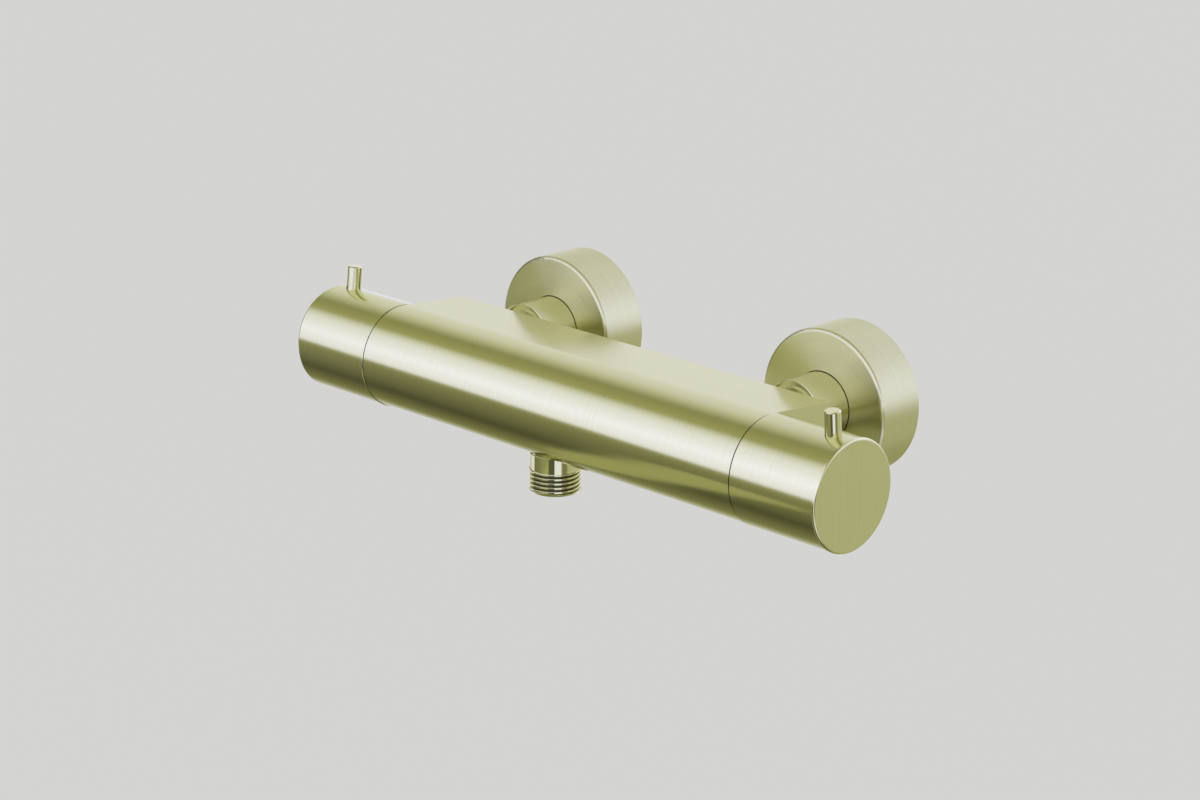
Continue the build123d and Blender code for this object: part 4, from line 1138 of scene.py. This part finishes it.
class MIXER_OT_wind_springs(bpy.types.Operator):
    """Replace the springs that a moving piece presses with wound ones"""

    bl_idname = "mixer.wind_springs"
    bl_label = "Wind Springs"

    def execute(self, context):
        settings = context.scene.mixer_spring
        steel = grained("spring_steel", context.scene.mixer_finish)
        valve = (settings.valve_wire, settings.valve_pitch)
        for node, body, direction, size in (
            ("check_valve_spring_left", "left_poppet", (0, 1, 0), valve),
            ("check_valve_spring_right", "right_poppet", (0, 1, 0), valve),
            ("return_spring", "regulator", (1, 0, 0), (settings.return_wire, settings.return_pitch)),
        ):
            made = wind_spring(node, direction, *size, settings)
            made.data.materials.append(steel)
            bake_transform(made)
        return {"FINISHED"}


class MIXER_OT_finish_inner_parts(bpy.types.Operator):
    """Give the cartridges, valves and seals the finishes that the record's material slots name"""

    bl_idname = "mixer.finish_inner_parts"
    bl_label = "Finish Inner Parts"

    def execute(self, context):
        parts = frame["record"]["subparts"]
        for slot in INNER_SLOTS:
            material = grained(slot, context.scene.mixer_finish)
            give(material, *[part["node"] for part in parts if part["material_slot"] == slot])
        return {"FINISHED"}


class MIXER_OT_finish_brass(bpy.types.Operator):
    """Give the outer brass pieces their brushed and polished finishes, after the inner pieces"""

    bl_idname = "mixer.finish_brass"
    bl_label = "Finish Brass"

    def execute(self, context):
        finish = context.scene.mixer_finish
        colour = linear(finish.brass)
        bar = brushed_bar_brass("Brass, brushed round the bar", colour, finish)
        give(bar, "mixer_body", "flow_handle", "temperature_handle")
        for side, hand in ((-1, "left"), (1, "right")):
            centre = (side * INLET_X, 0.0, INLET_Z)
            for piece, brushing, nodes in (
                ("cover", COVER_BRUSHING, ("rosette",)),
                ("nut", NUT_BRUSHING, ("union_nut", "inlet_tail")),
            ):
                name = f"Brass, brushed in the lathe, {hand} {piece}"
                turned = brushed_turned_brass(name, colour, centre, finish, brushing)
                give(turned, *[f"{node}_{hand}" for node in nodes])
        give(grained("pin_brass", finish), "flow_handle_pin", "temperature_handle_pin")
        return {"FINISHED"}


class MIXER_PT_steps(bpy.types.Panel):
    """Lists the steps that build the scene"""

    bl_idname = "MIXER_PT_steps"
    bl_label = "Bar Shower Mixer"
    bl_space_type = "VIEW_3D"
    bl_region_type = "UI"
    bl_category = "Mixer"

    def draw(self, context):
        layout = self.layout
        for name, _ in GROUPS:
            settings = getattr(context.scene, name)
            box = layout.box()
            for setting in settings.__annotations__:
                box.prop(settings, setting)
        for operator in OPERATORS:
            layout.operator(operator.bl_idname)


GROUPS = (
    ("mixer_thread", MixerThreadSettings),
    ("mixer_spring", MixerSpringSettings),
    ("mixer_finish", MixerFinishSettings),
    ("mixer_stage", MixerStageSettings),
)
OPERATORS = (
    MIXER_OT_build_stage,
    MIXER_OT_cut_outlet_thread,
    MIXER_OT_cut_union_threads,
    MIXER_OT_wind_springs,
    MIXER_OT_finish_inner_parts,
    MIXER_OT_finish_brass,
)


def register():
    """Register the settings, the steps and the panel."""
    for name, group in GROUPS:
        bpy.utils.register_class(group)
        setattr(bpy.types.Scene, name, PointerProperty(type=group))
    for operator in OPERATORS:
        bpy.utils.register_class(operator)
    bpy.utils.register_class(MIXER_PT_steps)


def unregister():
    """Take the panel, the steps and the settings away again."""
    bpy.utils.unregister_class(MIXER_PT_steps)
    for operator in reversed(OPERATORS):
        bpy.utils.unregister_class(operator)
    for name, group in reversed(GROUPS):
        delattr(bpy.types.Scene, name)
        bpy.utils.unregister_class(group)


def main():
    """Run every step in order."""
    register()
    bpy.ops.mixer.build_stage()
    bpy.ops.mixer.cut_outlet_thread()
    bpy.ops.mixer.cut_union_threads()
    bpy.ops.mixer.wind_springs()
    bpy.ops.mixer.finish_inner_parts()
    bpy.ops.mixer.finish_brass()


if __name__ == "__main__":
    main()
